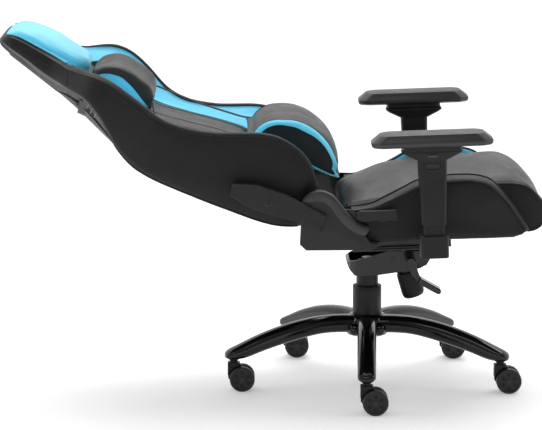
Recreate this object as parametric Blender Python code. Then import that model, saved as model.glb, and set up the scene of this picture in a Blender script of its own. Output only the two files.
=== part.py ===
"""Racing-style gaming chair with its backrest laid back.

Metres, +Z up.  The chair faces +X and the sitter's left is +Y.  The floor is z = 0 and the origin is
under the middle of the whole chair, so the swivel column stands at x = COLUMN_X.
Four frames carry the pieces: the base frame at the column, the seat frame (pitched with the seat), the
back frame at the recline pivot (its +Z runs up the back, its +X out of the front of the back) and one
frame for each armrest pad.
"""
import math

import bmesh
import bpy
from mathutils import Matrix, Vector

# ---- fits ----
TOUCH = 0.0003          # gap between pieces that touch
SLIDE = 0.0008          # gap between pieces that slide or turn on each other

# ---- base and column ----
COLUMN_X = 0.2275
BASE_RADIUS = 0.333     # circle of the caster stems
LEG_ANGLES = [-92.5 + 72 * k for k in range(5)]
LEG_WIDTH = 0.050
LEG_TIP_RADIUS = 0.0215
LEG_TIP_BOTTOM = 0.075
HUB_RADIUS = 0.047
HUB_BOTTOM = 0.116
HUB_TOP = 0.1680
STEM_RADIUS = 0.0052
STEM_LENGTH = 0.022
WHEEL_RADIUS = 0.030
WHEEL_SIDES = 20
WHEEL_OUTER = 0.026
WHEEL_INNER = 0.0080
CASTER_TRAIL = 0.020
HOOD_TOP = 0.069
HOOD_HALF = 0.0145
AXLE_RADIUS = 0.0035
GAS_TUBE_RADIUS = 0.0230
GAS_TUBE_BOTTOM = 0.098
GAS_TUBE_TOP = 0.234
GAS_CYLINDER_RADIUS = 0.0145
GAS_CYLINDER_TOP = 0.306
PISTON_ROD_RADIUS = 0.005
COVER_UPPER_RADIUS = GAS_TUBE_RADIUS + 0.0032
COVER_LOWER_RADIUS = COVER_UPPER_RADIUS + 0.0083
COVER_LOWER_TOP = 0.238
COVER_UPPER_BOTTOM = 0.1705
COVER_UPPER_TOP = 0.2705

# ---- tilt mechanism ----
HOUSING_HALF = 0.078
HOUSING_WALL = 0.003
HOUSING_REAR = -0.052
HOUSING_FRONT = 0.146
HOUSING_TOP = 0.3335
HOUSING_REAR_RADIUS = 0.050
SOCKET_BOTTOM = 0.273
TILT_X = 0.058
TILT_Z = 0.312
TILT_SHAFT_RADIUS = 0.006
KNOB_LEAN = math.radians(18)
KNOB_X = 0.094
KNOB_Z = 0.272
KNOB_RADIUS = 0.0262
KNOB_LENGTH = 0.062
KNOB_RIBS = 20
BOLT_RADIUS = 0.004
BOLT_HEAD = 0.048        # along the knob's axis, from KNOB_X, KNOB_Z
TONGUE_TOP = 0.0298
TONGUE_THICKNESS = 0.0036
TONGUE_HOLE = 0.0088
LEVER_X = 0.098
LEVER_Z = 0.318
LEVER_SHAFT_RADIUS = 0.005
LEVER_Y = -0.136
LEVER_SHAFT_END = -0.0726   # just inside the housing wall, clear of the tongue's ears

# ---- seat ----
SEAT_X = 0.070
SEAT_Z = 0.335
SEAT_PITCH = math.radians(2.0)
PLATE_BOTTOM = 0.0050
PLATE_TOP = 0.0090
PAN_BOTTOM = 0.0525
PAN_TOP = 0.0625
PAN_HALF = 0.2030
PAN_FRONT = 0.262
SEAT_REAR = -0.133
SEAT_FRONT = 0.347
SEAT_CROWN = 0.193
CUSHION_HALF = 0.2035
BOLSTER_OUTER = 0.2655

# ---- recline hinge ----
PIVOT_X = -0.125
PIVOT_Z = 0.455
RECLINED = math.radians(66)     # lean of the back away from upright
BRACKET_INNER = 0.2665
BRACKET_OUTER = 0.2705
COVER_INNER = BRACKET_OUTER + TOUCH
COVER_OUTER = 0.2985
COVER_WALL = 0.003
ARM_INNER = 0.2655
ARM_OUTER = 0.3090
PIVOT_RADIUS = 0.008
RECLINER_RADIUS = 0.034
LEVER_PIN = (-0.0985, 0.1235)
LEVER_GRIP_INNER = 0.2850
LEVER_GRIP_OUTER = 0.2965

# ---- back ----
BACK_LOW = 0.014
BACK_HIGH = 0.842
BACK_STATIONS = 19
FRAME_TUBE_RADIUS = 0.0115
SLOT_CENTRE = (0.152, 0.592)
SLOT_LENGTH = 0.084
SLOT_WIDTH = 0.030
SLOT_LEAN = math.radians(-22)
LUMBAR_HALF = 0.158
NECK_HALF = 0.132
STRAP_Y = 0.148
STRAP_WIDTH = 0.012
STRAP_THICKNESS = 0.0018

# ---- armrests ----
ARM_A = 0.069           # fore-and-aft middle of the post, in the seat frame
ARM_Y = 0.347
PAD_Y = ARM_Y + 0.016    # the pads are slid outwards
PAD_LENGTH = 0.275
PAD_WIDTH = 0.090
PAD_HEIGHT = 0.0302
PAD_SPINDLE_RADIUS = 0.010
POST_HALF_A = 0.0245
POST_HALF_Y = 0.0165
SLEEVE_HALF_Y = 0.0225
SLEEVE_BOTTOM = 0.110
SLEEVE_SHOULDER = 0.259
SLEEVE_BORE_TOP = 0.2245
BUTTON_C = 0.246
BUTTON_HALF_A = 0.011     # to the middle of each round end
BUTTON_RADIUS = 0.0056
HEAD_TOP = 0.2800
SLIDE_PLATE_TOP = HEAD_TOP + 0.0035
CARRIAGE_TOP = SLIDE_PLATE_TOP + 0.0105
BASE_SLEEVE_BOTTOM = 0.033
BASE_SLEEVE_TOP = 0.0855

COLOURS = {
    "gloss_black": ((0.012, 0.012, 0.013), 0.12, 0.0),
    "satin_black": ((0.020, 0.020, 0.021), 0.45, 0.0),
    "wheel_black": ((0.026, 0.026, 0.027), 0.55, 0.0),
    "bare_steel": ((0.45, 0.45, 0.46), 0.30, 1.0),
    "black_steel": ((0.020, 0.020, 0.022), 0.35, 0.6),
    "trim_plastic": ((0.034, 0.034, 0.035), 0.50, 0.0),
    "arm_pad": ((0.045, 0.044, 0.044), 0.55, 0.0),
    "black_leather": ((0.022, 0.022, 0.023), 0.42, 0.0),
    "blue_leather": ((0.13, 0.56, 0.82), 0.42, 0.0),
    "webbing": ((0.018, 0.018, 0.018), 0.80, 0.0),
}


# ---------------------------------------------------------------- scene helpers

def clear_scene():
    for obj in list(bpy.data.objects):
        bpy.data.objects.remove(obj, do_unlink=True)


def empty(name, parent=None, location=(0, 0, 0), rotation=(0, 0, 0)):
    """A frame that pieces are placed in."""
    obj = bpy.data.objects.new(name, None)
    bpy.context.scene.collection.objects.link(obj)
    obj.parent = parent
    obj.location = location
    obj.rotation_euler = rotation
    return obj


def piece(name, bm, look, parent, location=(0, 0, 0), rotation=(0, 0, 0), sharp=35):
    """Turn a bmesh into one named, coloured object."""
    bmesh.ops.recalc_face_normals(bm, faces=bm.faces)
    mesh = bpy.data.meshes.new(name)
    bm.to_mesh(mesh)
    bm.free()
    obj = bpy.data.objects.new(name, mesh)
    bpy.context.scene.collection.objects.link(obj)
    obj.parent = parent
    obj.location = location
    obj.rotation_euler = rotation
    mesh.shade_smooth()
    mesh.set_sharp_from_angle(angle=math.radians(sharp))
    colour, roughness, metallic = COLOURS[look]
    material = bpy.data.materials.new(name)
    material.use_nodes = True
    shader = material.node_tree.nodes["Principled BSDF"]
    shader.inputs["Base Color"].default_value = (*colour, 1)
    shader.inputs["Roughness"].default_value = roughness
    shader.inputs["Metallic"].default_value = metallic
    mesh.materials.append(material)
    return obj


def combine(bm, other, operation):
    """Boolean of two closed bmeshes in one frame.  Both are used up; the result is a new bmesh."""
    objects = []
    for source in (bm, other):
        bmesh.ops.recalc_face_normals(source, faces=source.faces)
        mesh = bpy.data.meshes.new("tool")
        source.to_mesh(mesh)
        source.free()
        obj = bpy.data.objects.new("tool", mesh)
        bpy.context.scene.collection.objects.link(obj)
        objects.append(obj)
    modifier = objects[0].modifiers.new("combine", "BOOLEAN")
    modifier.operation = operation
    modifier.solver = "EXACT"
    modifier.object = objects[1]
    evaluated = objects[0].evaluated_get(bpy.context.evaluated_depsgraph_get())
    result = bmesh.new()
    result.from_mesh(evaluated.to_mesh())
    evaluated.to_mesh_clear()
    for obj in objects:
        mesh = obj.data
        bpy.data.objects.remove(obj, do_unlink=True)
        bpy.data.meshes.remove(mesh)
    return result


def moved(bm, matrix):
    bmesh.ops.transform(bm, matrix=matrix, verts=bm.verts)
    return bm


# ---------------------------------------------------------------- shape helpers

def smooth_value(table, t):
    """Value at t on a smooth curve through (t, value) pairs."""
    if t <= table[0][0]:
        return table[0][1]
    for k in range(len(table) - 1):
        (t0, v0), (t1, v1) = table[k], table[k + 1]
        if t <= t1:
            before = table[max(k - 1, 0)]
            after = table[min(k + 2, len(table) - 1)]
            slope0 = (v1 - before[1]) / (t1 - before[0])
            slope1 = (after[1] - v0) / (after[0] - t0)
            h = t1 - t0
            u = (t - t0) / h
            return ((2 * u**3 - 3 * u**2 + 1) * v0 + (u**3 - 2 * u**2 + u) * h * slope0
                    + (3 * u**2 - 2 * u**3) * v1 + (u**3 - u**2) * h * slope1)
    return table[-1][1]


def arc(centre, radius, start, end, steps):
    """Points on an arc, angles in degrees."""
    points = []
    for k in range(steps + 1):
        angle = math.radians(start + (end - start) * k / steps)
        points.append((centre[0] + radius * math.cos(angle), centre[1] + radius * math.sin(angle)))
    return points


def rounded_box(half_x, half_y, radius, steps=3):
    """Rounded rectangle about the origin."""
    points = []
    corners = [(1, 1, 0), (-1, 1, 90), (-1, -1, 180), (1, -1, 270)]
    for sign_x, sign_y, start in corners:
        centre = (sign_x * (half_x - radius), sign_y * (half_y - radius))
        points += arc(centre, radius, start, start + 90, steps)
    return points


def inset(points, distance):
    """The outline moved inwards by a wall thickness (corners mitred)."""
    area = sum(a[0] * b[1] - b[0] * a[1] for a, b in zip(points, points[1:] + points[:1]))
    side = 1 if area > 0 else -1
    result = []
    count = len(points)
    for k in range(count):
        here = Vector(points[k])
        into = (here - Vector(points[k - 1])).normalized()
        out = (Vector(points[(k + 1) % count]) - here).normalized()
        normal_in = Vector((-into.y, into.x)) * side
        normal_out = Vector((-out.y, out.x)) * side
        middle = (normal_in + normal_out).normalized()
        reach = distance / max(middle.dot(normal_in), 0.4)
        result.append(tuple(here + middle * reach))
    return result


def loft(rings):
    """Closed body through rings of equal count, flat caps at both ends."""
    bm = bmesh.new()
    rows = [[bm.verts.new(point) for point in ring] for ring in rings]
    for low, high in zip(rows, rows[1:]):
        count = len(low)
        for k in range(count):
            bm.faces.new((low[k], low[(k + 1) % count], high[(k + 1) % count], high[k]))
    bm.faces.new(list(reversed(rows[0])))
    bm.faces.new(rows[-1])
    return bm


def side_plate(outline, low, high, edge=0.0, ends=(True, True)):
    """Outline in (x, z) given thickness along Y; edge is a chamfer round either face."""
    rings = []
    narrow = inset(outline, edge) if edge else outline
    if edge and ends[0]:
        rings.append([(x, low, z) for x, z in narrow])
    rings.append([(x, low + (edge if ends[0] else 0), z) for x, z in outline])
    rings.append([(x, high - (edge if ends[1] else 0), z) for x, z in outline])
    if edge and ends[1]:
        rings.append([(x, high, z) for x, z in narrow])
    return loft(rings)


def upright(outline, low, high, edge_low=0.0, edge_high=0.0):
    """Outline in (x, y) given height along Z, with a chamfer below or above."""
    rings = []
    if edge_low:
        rings.append([(x, y, low) for x, y in inset(outline, edge_low)])
    rings.append([(x, y, low + edge_low) for x, y in outline])
    rings.append([(x, y, high - edge_high) for x, y in outline])
    if edge_high:
        rings.append([(x, y, high) for x, y in inset(outline, edge_high)])
    return loft(rings)


def block(x0, x1, y0, y1, z0, z1):
    return upright([(x0, y0), (x1, y0), (x1, y1), (x0, y1)], z0, z1)


def turned(profile, steps=24, start=0.0):
    """Closed (radius, z) profile turned about Z.  Points at radius 0 share one vertex."""
    bm = bmesh.new()
    rows = []
    for radius, z in profile:
        if radius == 0:
            rows.append([bm.verts.new((0, 0, z))])
        else:
            angles = [start + 2 * math.pi * k / steps for k in range(steps)]
            rows.append([bm.verts.new((radius * math.cos(a), radius * math.sin(a), z)) for a in angles])
    pairs = list(zip(rows, rows[1:] + rows[:1]))
    for first, second in pairs:
        if len(first) == 1 and len(second) == 1:
            continue
        for k in range(steps):
            n = (k + 1) % steps
            if len(first) == 1:
                bm.faces.new((first[0], second[k], second[n]))
            elif len(second) == 1:
                bm.faces.new((first[k], first[n], second[0]))
            else:
                bm.faces.new((first[k], first[n], second[n], second[k]))
    return bm


def rod(radius, z0, z1, steps=16):
    return turned([(0, z0), (radius, z0), (radius, z1), (0, z1)], steps)


def along_y(bm):
    """Turn a body made about Z so that it lies along Y."""
    return moved(bm, Matrix.Rotation(math.radians(-90), 4, "X"))


def swept(path, radius, sides=10):
    """Round bar along a path, with flat ends."""
    path = [Vector(point) for point in path]
    rings = []
    normal = None
    for k, point in enumerate(path):
        ahead = path[min(k + 1, len(path) - 1)]
        behind = path[max(k - 1, 0)]
        tangent = (ahead - behind).normalized()
        if normal is None:
            normal = tangent.orthogonal().normalized()
        normal = (normal - tangent * normal.dot(tangent)).normalized()
        across = tangent.cross(normal)
        ring = []
        for j in range(sides):
            angle = 2 * math.pi * j / sides
            ring.append(point + (normal * math.cos(angle) + across * math.sin(angle)) * radius)
        rings.append(ring)
    return loft(rings)


def rounded_corner(before, corner, after, radius, steps=4):
    """Points that round one corner of a path."""
    corner = Vector(corner)
    start = corner + (Vector(before) - corner).normalized() * radius
    end = corner + (Vector(after) - corner).normalized() * radius
    points = []
    for k in range(steps + 1):
        u = k / steps
        points.append(start * (1 - u) ** 2 + corner * 2 * u * (1 - u) + end * u**2)
    return points


# ---------------------------------------------------------------- base

LEG_TOP = [(0.030, 0.1665), (0.075, 0.1685), (0.115, 0.1670), (0.160, 0.1615), (0.210, 0.1505),
           (0.270, 0.1310), (0.320, 0.1100), (0.336, 0.1030)]
LEG_BOTTOM = [(0.030, 0.1240), (0.115, 0.1250), (0.200, 0.1085), (0.260, 0.0920), (0.300, 0.0790),
              (0.320, LEG_TIP_BOTTOM)]


def leg():
    """One arched leg along +X, drop-shaped in section, with a round nose."""
    nose = [BASE_RADIUS + LEG_TIP_RADIUS * math.sin(math.radians(a)) for a in (25, 50, 70, 82)]
    stations = [0.034, 0.07, 0.115, 0.16, 0.205, 0.25, 0.29, BASE_RADIUS] + nose
    rings = []
    for r in stations:
        top = smooth_value(LEG_TOP, r)
        bottom = smooth_value(LEG_BOTTOM, r)
        half = LEG_WIDTH / 2 + (LEG_TIP_RADIUS - LEG_WIDTH / 2) * r / BASE_RADIUS
        if r > BASE_RADIUS:
            shrink = math.sqrt(1 - ((r - BASE_RADIUS) / LEG_TIP_RADIUS) ** 2)
            half = LEG_TIP_RADIUS * shrink
            top = LEG_TIP_BOTTOM + (top - LEG_TIP_BOTTOM) * (0.45 + 0.55 * shrink)
        middle = (top + bottom) / 2
        ring = []
        for k in range(12):
            angle = 2 * math.pi * (k + 0.5) / 12
            c, s = math.cos(angle), math.sin(angle)
            y = half * math.copysign(abs(c) ** 0.8, c)
            z = middle + (top - bottom) / 2 * math.copysign(abs(s) ** 0.8, s)
            ring.append((r, y, z))
        rings.append(ring)
    return loft(rings)


def star_base(parent):
    hub = turned([(0, HUB_BOTTOM), (HUB_RADIUS, HUB_BOTTOM), (HUB_RADIUS + 0.005, HUB_BOTTOM + 0.012),
                  (HUB_RADIUS + 0.004, 0.150), (HUB_RADIUS - 0.004, HUB_TOP - 0.003),
                  (HUB_RADIUS - 0.008, HUB_TOP), (0, HUB_TOP)], 30)
    for angle in LEG_ANGLES:
        turn = Matrix.Rotation(math.radians(angle), 4, "Z")
        hub = combine(hub, moved(leg(), turn), "UNION")
    bore = rod(GAS_TUBE_RADIUS + TOUCH, HUB_BOTTOM - 0.02, HUB_TOP + 0.02, 24)
    hub = combine(hub, bore, "DIFFERENCE")
    for angle in LEG_ANGLES:
        hole = rod(STEM_RADIUS + TOUCH, LEG_TIP_BOTTOM - 0.005, LEG_TIP_BOTTOM + STEM_LENGTH, 12)
        turn = Matrix.Rotation(math.radians(angle), 4, "Z")
        hub = combine(hub, moved(hole, turn @ Matrix.Translation((BASE_RADIUS, 0, 0))), "DIFFERENCE")
    piece("star_base", hub, "gloss_black", parent)


def hood():
    """Caster housing: a stem, a block behind the wheels and a web between them."""
    clear = WHEEL_RADIUS + 0.0016
    axle = (CASTER_TRAIL, WHEEL_RADIUS)
    reach = CASTER_TRAIL - HOOD_HALF
    top_angle = math.degrees(math.acos(-reach / clear))
    round_wheel = arc(axle, clear, top_angle, 166, 5)
    outline = [(HOOD_HALF, HOOD_TOP - 0.0005), (-HOOD_HALF, HOOD_TOP - 0.0005), (-HOOD_HALF, 0.038)]
    body = side_plate(outline + list(reversed(round_wheel)), -0.0125, 0.0125, 0.001)
    web = side_plate(arc(axle, 0.024, -75, 75, 5) + [(HOOD_HALF, HOOD_TOP - 0.004),
                     (-HOOD_HALF + 0.001, HOOD_TOP - 0.004), (-HOOD_HALF + 0.001, 0.030), (0.010, 0.008)],
                     -0.0066, 0.0066)
    body = combine(body, web, "UNION")
    stem = turned([(0, HOOD_TOP - 0.006), (0.0095, HOOD_TOP - 0.006), (0.0095, LEG_TIP_BOTTOM - 0.0016),
                   (STEM_RADIUS, LEG_TIP_BOTTOM - 0.0012),
                   (STEM_RADIUS, LEG_TIP_BOTTOM + STEM_LENGTH - 0.001),
                   (0, LEG_TIP_BOTTOM + STEM_LENGTH - 0.001)], 12)
    body = combine(body, stem, "UNION")
    hole = moved(along_y(rod(AXLE_RADIUS + TOUCH, -0.02, 0.02, 12)),
                 Matrix.Translation((axle[0], 0, axle[1])))
    return combine(body, hole, "DIFFERENCE")


def wheels():
    """Twin wheels on one axle, turned about Y.  A flat side of the polygon faces the floor."""
    corner = 1 / math.cos(math.pi / WHEEL_SIDES)
    half = [(0.0, WHEEL_OUTER - 0.0025), (0.0205, WHEEL_OUTER - 0.0025), (0.0225, WHEEL_OUTER),
            (0.0275, WHEEL_OUTER), (WHEEL_RADIUS, WHEEL_OUTER - 0.003), (WHEEL_RADIUS, WHEEL_INNER),
            (AXLE_RADIUS, WHEEL_INNER)]
    profile = half + [(radius, -y) for radius, y in reversed(half)]
    profile = [(radius * corner, y) for radius, y in profile]
    return along_y(turned(profile, WHEEL_SIDES, math.pi / WHEEL_SIDES))


def casters(parent):
    for number, angle in enumerate(LEG_ANGLES, start=1):
        x = BASE_RADIUS * math.cos(math.radians(angle))
        y = BASE_RADIUS * math.sin(math.radians(angle))
        stem = empty(f"caster_stem_{number}", parent, (x, y, 0))
        piece(f"caster_hood_{number}", hood(), "satin_black", stem)
        piece(f"caster_wheels_{number}", wheels(), "wheel_black", stem, (CASTER_TRAIL, 0, WHEEL_RADIUS))


def gas_lift(parent):
    floor = GAS_TUBE_BOTTOM + 0.004
    guide = GAS_CYLINDER_RADIUS + SLIDE
    hole = 0.0065
    tube = turned([(hole, GAS_TUBE_BOTTOM), (GAS_TUBE_RADIUS - 0.001, GAS_TUBE_BOTTOM),
                   (GAS_TUBE_RADIUS, GAS_TUBE_BOTTOM + 0.002), (GAS_TUBE_RADIUS, GAS_TUBE_TOP),
                   (guide, GAS_TUBE_TOP), (guide, floor), (hole, floor)])
    piece("gas_outer_tube", tube, "black_steel", parent)
    bearing = turned([(hole, floor + TOUCH), (0.0130, floor + TOUCH), (0.0135, floor + 0.002),
                      (0.0130, floor + 0.005), (hole, floor + 0.005)])
    piece("thrust_bearing", bearing, "bare_steel", parent)
    lower = turned([(COVER_UPPER_RADIUS + SLIDE, HUB_TOP + TOUCH), (COVER_LOWER_RADIUS, HUB_TOP + TOUCH),
                    (COVER_LOWER_RADIUS, COVER_LOWER_TOP - 0.0015),
                    (COVER_LOWER_RADIUS - 0.0015, COVER_LOWER_TOP),
                    (COVER_UPPER_RADIUS + SLIDE, COVER_LOWER_TOP)], 28)
    piece("column_cover_lower", lower, "satin_black", parent)
    clip = GAS_TUBE_BOTTOM - TOUCH
    piston = turned([(0, clip - 0.006), (PISTON_ROD_RADIUS, clip - 0.006), (PISTON_ROD_RADIUS, clip - 0.003),
                     (0.009, clip - 0.003), (0.009, clip), (PISTON_ROD_RADIUS, clip),
                     (PISTON_ROD_RADIUS, 0.262), (0, 0.262)], 16)
    piece("gas_piston_rod", piston, "bare_steel", parent)
    bottom = floor + 0.0065
    cylinder = turned([(PISTON_ROD_RADIUS + SLIDE, bottom), (GAS_CYLINDER_RADIUS, bottom),
                       (GAS_CYLINDER_RADIUS, 0.272), (GAS_CYLINDER_RADIUS - 0.001, GAS_CYLINDER_TOP),
                       (0, GAS_CYLINDER_TOP), (0, GAS_CYLINDER_TOP - 0.012),
                       (PISTON_ROD_RADIUS + SLIDE, GAS_CYLINDER_TOP - 0.012)])
    piece("gas_inner_cylinder", cylinder, "bare_steel", parent)
    cover = turned([(GAS_TUBE_RADIUS + SLIDE, COVER_UPPER_BOTTOM), (COVER_UPPER_RADIUS, COVER_UPPER_BOTTOM),
                    (COVER_UPPER_RADIUS, COVER_UPPER_TOP), (GAS_TUBE_RADIUS + SLIDE, COVER_UPPER_TOP)], 28)
    piece("column_cover_upper", cover, "satin_black", parent)


# ---------------------------------------------------------------- tilt mechanism

HOUSING_FLOOR = [(-0.033, 0.2725), (0.021, 0.2755), (0.075, 0.2835), (0.122, 0.2925)]
HOUSING_NOSE = [(0.138, 0.3010), (HOUSING_FRONT, 0.3150), (HOUSING_FRONT, HOUSING_TOP)]
HOUSING_TAIL = [(0.045, HOUSING_TOP), (HOUSING_REAR, 0.3030), (-0.046, 0.2870)]


def housing_profile():
    """Side view of the tray: floor rising to the front, rim dropping to the rear."""
    return HOUSING_FLOOR + HOUSING_NOSE + HOUSING_TAIL


def cavity_profile():
    """The tray's inside: its floor a wall higher, and open above the rim."""
    floor, front, rear = HOUSING_FLOOR, HOUSING_NOSE, HOUSING_TAIL
    inner = inset(floor + front + rear, HOUSING_WALL)
    open_top = len(floor) + len(front) - 1
    return [(x, z + (0.06 if open_top <= k < open_top + 3 else 0)) for k, (x, z) in enumerate(inner)]


def tray(profile, half, rear_radius, top):
    """The side view cut to a plan with a rounded rear."""
    xs = [x for x, _ in profile]
    low, high = min(xs), max(xs)
    plan = [(high, -half)] + [(high, half)]
    plan += arc((low + rear_radius, half - rear_radius), rear_radius, 90, 180, 5)
    plan += arc((low + rear_radius, -half + rear_radius), rear_radius, 180, 270, 5)
    side = side_plate(profile, -half - 0.02, half + 0.02)
    return combine(side, upright(plan, 0.25, top), "INTERSECT")


def tilt_mechanism(parent):
    outer = tray(housing_profile(), HOUSING_HALF, HOUSING_REAR_RADIUS, 0.36)
    cavity = tray(cavity_profile(), HOUSING_HALF - HOUSING_WALL, HOUSING_REAR_RADIUS - HOUSING_WALL, 0.42)
    body = combine(outer, cavity, "DIFFERENCE")
    socket = rod(0.0215, SOCKET_BOTTOM, 0.300, 24)
    body = combine(body, socket, "UNION")
    body = combine(body, rod(GAS_CYLINDER_RADIUS + TOUCH, 0.255, 0.345, 24), "DIFFERENCE")
    under = rod(COVER_UPPER_RADIUS + TOUCH, 0.255, COVER_UPPER_TOP + TOUCH, 28)
    body = combine(body, under, "DIFFERENCE")
    shaft_hole = along_y(rod(TILT_SHAFT_RADIUS + TOUCH, -0.12, 0.12))
    body = combine(body, moved(shaft_hole, Matrix.Translation((TILT_X, 0, TILT_Z))), "DIFFERENCE")
    lever_hole = along_y(rod(LEVER_SHAFT_RADIUS + TOUCH, -0.12, -0.05, 12))
    body = combine(body, moved(lever_hole, Matrix.Translation((LEVER_X, 0, LEVER_Z))), "DIFFERENCE")
    knob_frame = Matrix.Translation((KNOB_X, 0, KNOB_Z)) @ Matrix.Rotation(-KNOB_LEAN, 4, "Y")
    collar = moved(turned([(0, 0.0), (0.0235, 0.0), (0.0245, 0.004), (0.0245, 0.020), (0, 0.020)], 24),
                   knob_frame)
    body = combine(body, collar, "UNION")
    bolt_hole = moved(rod(BOLT_RADIUS + TOUCH, -0.02, 0.05, 12), knob_frame)
    body = combine(body, bolt_hole, "DIFFERENCE")
    piece("tilt_housing", body, "gloss_black", parent)
    shaft = along_y(rod(TILT_SHAFT_RADIUS, -HOUSING_HALF - 0.003, HOUSING_HALF + 0.003))
    piece("tilt_shaft", shaft, "bare_steel", parent, (TILT_X, 0, TILT_Z))


def tension_parts(parent):
    """Knob, bolt and spring under the front of the tray.  Their axis leans forward at the bottom."""
    frame = empty("knob_axis", parent, (KNOB_X, 0, KNOB_Z), (0, -KNOB_LEAN, 0))
    rings = []
    for z, scale in ((-KNOB_LENGTH - 0.004, 0.70), (-KNOB_LENGTH, 0.92), (-KNOB_LENGTH + 0.006, 1.04),
                     (-0.012, 1.0), (-0.004, 0.97), (-TOUCH * 2, 0.90)):
        ring = []
        for k in range(KNOB_RIBS * 2):
            angle = math.pi * k / KNOB_RIBS
            radius = KNOB_RADIUS * scale * (1.0 if k % 2 else 0.965)
            ring.append((radius * math.cos(angle), radius * math.sin(angle), z))
        rings.append(ring)
    knob = combine(loft(rings), rod(BOLT_RADIUS + TOUCH, -0.030, 0.01, 12), "DIFFERENCE")
    piece("tension_knob", knob, "satin_black", frame)
    bolt = turned([(0, -0.029), (BOLT_RADIUS, -0.029), (BOLT_RADIUS, BOLT_HEAD), (0.0125, BOLT_HEAD),
                   (0.0125, BOLT_HEAD + 0.003), (0, BOLT_HEAD + 0.003)], 16)
    piece("tension_bolt", bolt, "bare_steel", frame)
    turns, sides, wire, radius = 3, 12, 0.0013, 0.0105
    low, high = TONGUE_TOP + wire + TOUCH, BOLT_HEAD - wire - TOUCH
    path = []
    for k in range(turns * sides + 1):
        angle = 2 * math.pi * k / sides
        path.append((radius * math.cos(angle), radius * math.sin(angle),
                     low + (high - low) * k / (turns * sides)))
    piece("tension_spring", swept(path, wire, 6), "bare_steel", frame)


def height_lever(parent):
    axis = empty("lever_axis", parent, (LEVER_X, 0, LEVER_Z))
    shaft = along_y(rod(LEVER_SHAFT_RADIUS, LEVER_Y + 0.002, LEVER_SHAFT_END, 12))
    piece("lever_shaft", shaft, "black_steel", axis)
    outline = (arc((0, 0), 0.0115, 20, 200, 6)
               + [(-0.0045, -0.020), (0.0035, -0.036), (0.014, -0.046), (0.050, -0.0665)]
               + arc((0.0625, -0.0655), 0.0070, 225, 405, 4)
               + [(0.030, -0.0415), (0.0205, -0.034), (0.0150, -0.020)])
    arm = side_plate(outline, LEVER_Y - 0.006, LEVER_Y + 0.006, 0.0015)
    paddle_outline = ([(0.016, -0.0475), (0.050, -0.0665)] + arc((0.0625, -0.0655), 0.0070, 225, 405, 4)
                      + [(0.022, -0.0350)])
    paddle = side_plate(paddle_outline, LEVER_Y - 0.026, LEVER_Y + 0.010, 0.002)
    arm = combine(arm, paddle, "UNION")
    hole = along_y(rod(LEVER_SHAFT_RADIUS + TOUCH, LEVER_Y + 0.0015, LEVER_Y + 0.02, 12))
    arm = combine(arm, hole, "DIFFERENCE")
    piece("height_lever", arm, "gloss_black", axis)


# ---------------------------------------------------------------- seat (seat frame)

def seat_point(x, z):
    """A point of the base frame, in the seat frame."""
    dx, dz = x - SEAT_X, z - SEAT_Z
    c, s = math.cos(SEAT_PITCH), math.sin(SEAT_PITCH)
    return dx * c + dz * s, dz * c - dx * s


def seat_structure(parent):
    shaft_a, shaft_c = seat_point(TILT_X, TILT_Z)
    plate = block(-0.108, 0.098, -0.104, 0.104, PLATE_BOTTOM, PLATE_TOP)
    knob_a, knob_c = seat_point(KNOB_X, KNOB_Z)
    tongue_frame = (Matrix.Translation((knob_a, 0, knob_c))
                    @ Matrix.Rotation(SEAT_PITCH - KNOB_LEAN, 4, "Y"))
    tongue = block(-0.014, 0.014, -0.0695, 0.0695, TONGUE_TOP - TONGUE_THICKNESS, TONGUE_TOP)
    tongue = moved(tongue, tongue_frame)
    for side in (-1, 1):
        ear = arc((shaft_a, shaft_c), 0.013, 180, 290, 5) + [(0.000, -0.0395), (0.026, -0.0335),
              (0.030, -0.0260), (0.012, -0.0200), (shaft_a + 0.018, PLATE_BOTTOM + 0.002),
              (shaft_a - 0.018, PLATE_BOTTOM + 0.002)]
        tongue = combine(tongue, side_plate(ear, *sorted((side * 0.066, side * 0.071))), "UNION")
    plate = combine(plate, tongue, "UNION")
    bolt_way = moved(rod(TONGUE_HOLE, TONGUE_TOP - 0.008, TONGUE_TOP + 0.004, 16), tongue_frame)
    plate = combine(plate, bolt_way, "DIFFERENCE")
    hole = along_y(rod(TILT_SHAFT_RADIUS + TOUCH, -0.12, 0.12))
    hole = moved(hole, Matrix.Translation((shaft_a, 0, shaft_c)))
    plate = combine(plate, hole, "DIFFERENCE")
    window = upright(rounded_box(0.024, 0.030, 0.006), PLATE_BOTTOM - 0.02, PLATE_TOP + 0.02)
    plate = combine(plate, moved(window, Matrix.Translation((0.010, 0, 0))), "DIFFERENCE")
    piece("seat_plate", plate, "black_steel", parent)
    pan_outline = [(SEAT_REAR + 0.004, -PAN_HALF + 0.02), (SEAT_REAR + 0.024, -PAN_HALF),
                   (0.225, -PAN_HALF), (PAN_FRONT, -PAN_HALF + 0.04), (PAN_FRONT, PAN_HALF - 0.04),
                   (0.225, PAN_HALF), (SEAT_REAR + 0.024, PAN_HALF), (SEAT_REAR + 0.004, PAN_HALF - 0.02)]
    frame = upright(pan_outline, PAN_BOTTOM, PAN_TOP)
    for side in (-1, 1):
        section = [(-0.014, PLATE_TOP + TOUCH), (0.014, PLATE_TOP + TOUCH), (0.014, PLATE_TOP + 0.004),
                   (0.003, PLATE_TOP + 0.004), (0.003, PAN_BOTTOM + 0.003), (-0.003, PAN_BOTTOM + 0.003),
                   (-0.003, PLATE_TOP + 0.004), (-0.014, PLATE_TOP + 0.004)]
        rail = loft([[(a, side * 0.084 + y, z) for y, z in section] for a in (-0.120, 0.125)])
        frame = combine(frame, rail, "UNION")
    piece("seat_frame", frame, "black_steel", parent)


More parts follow.
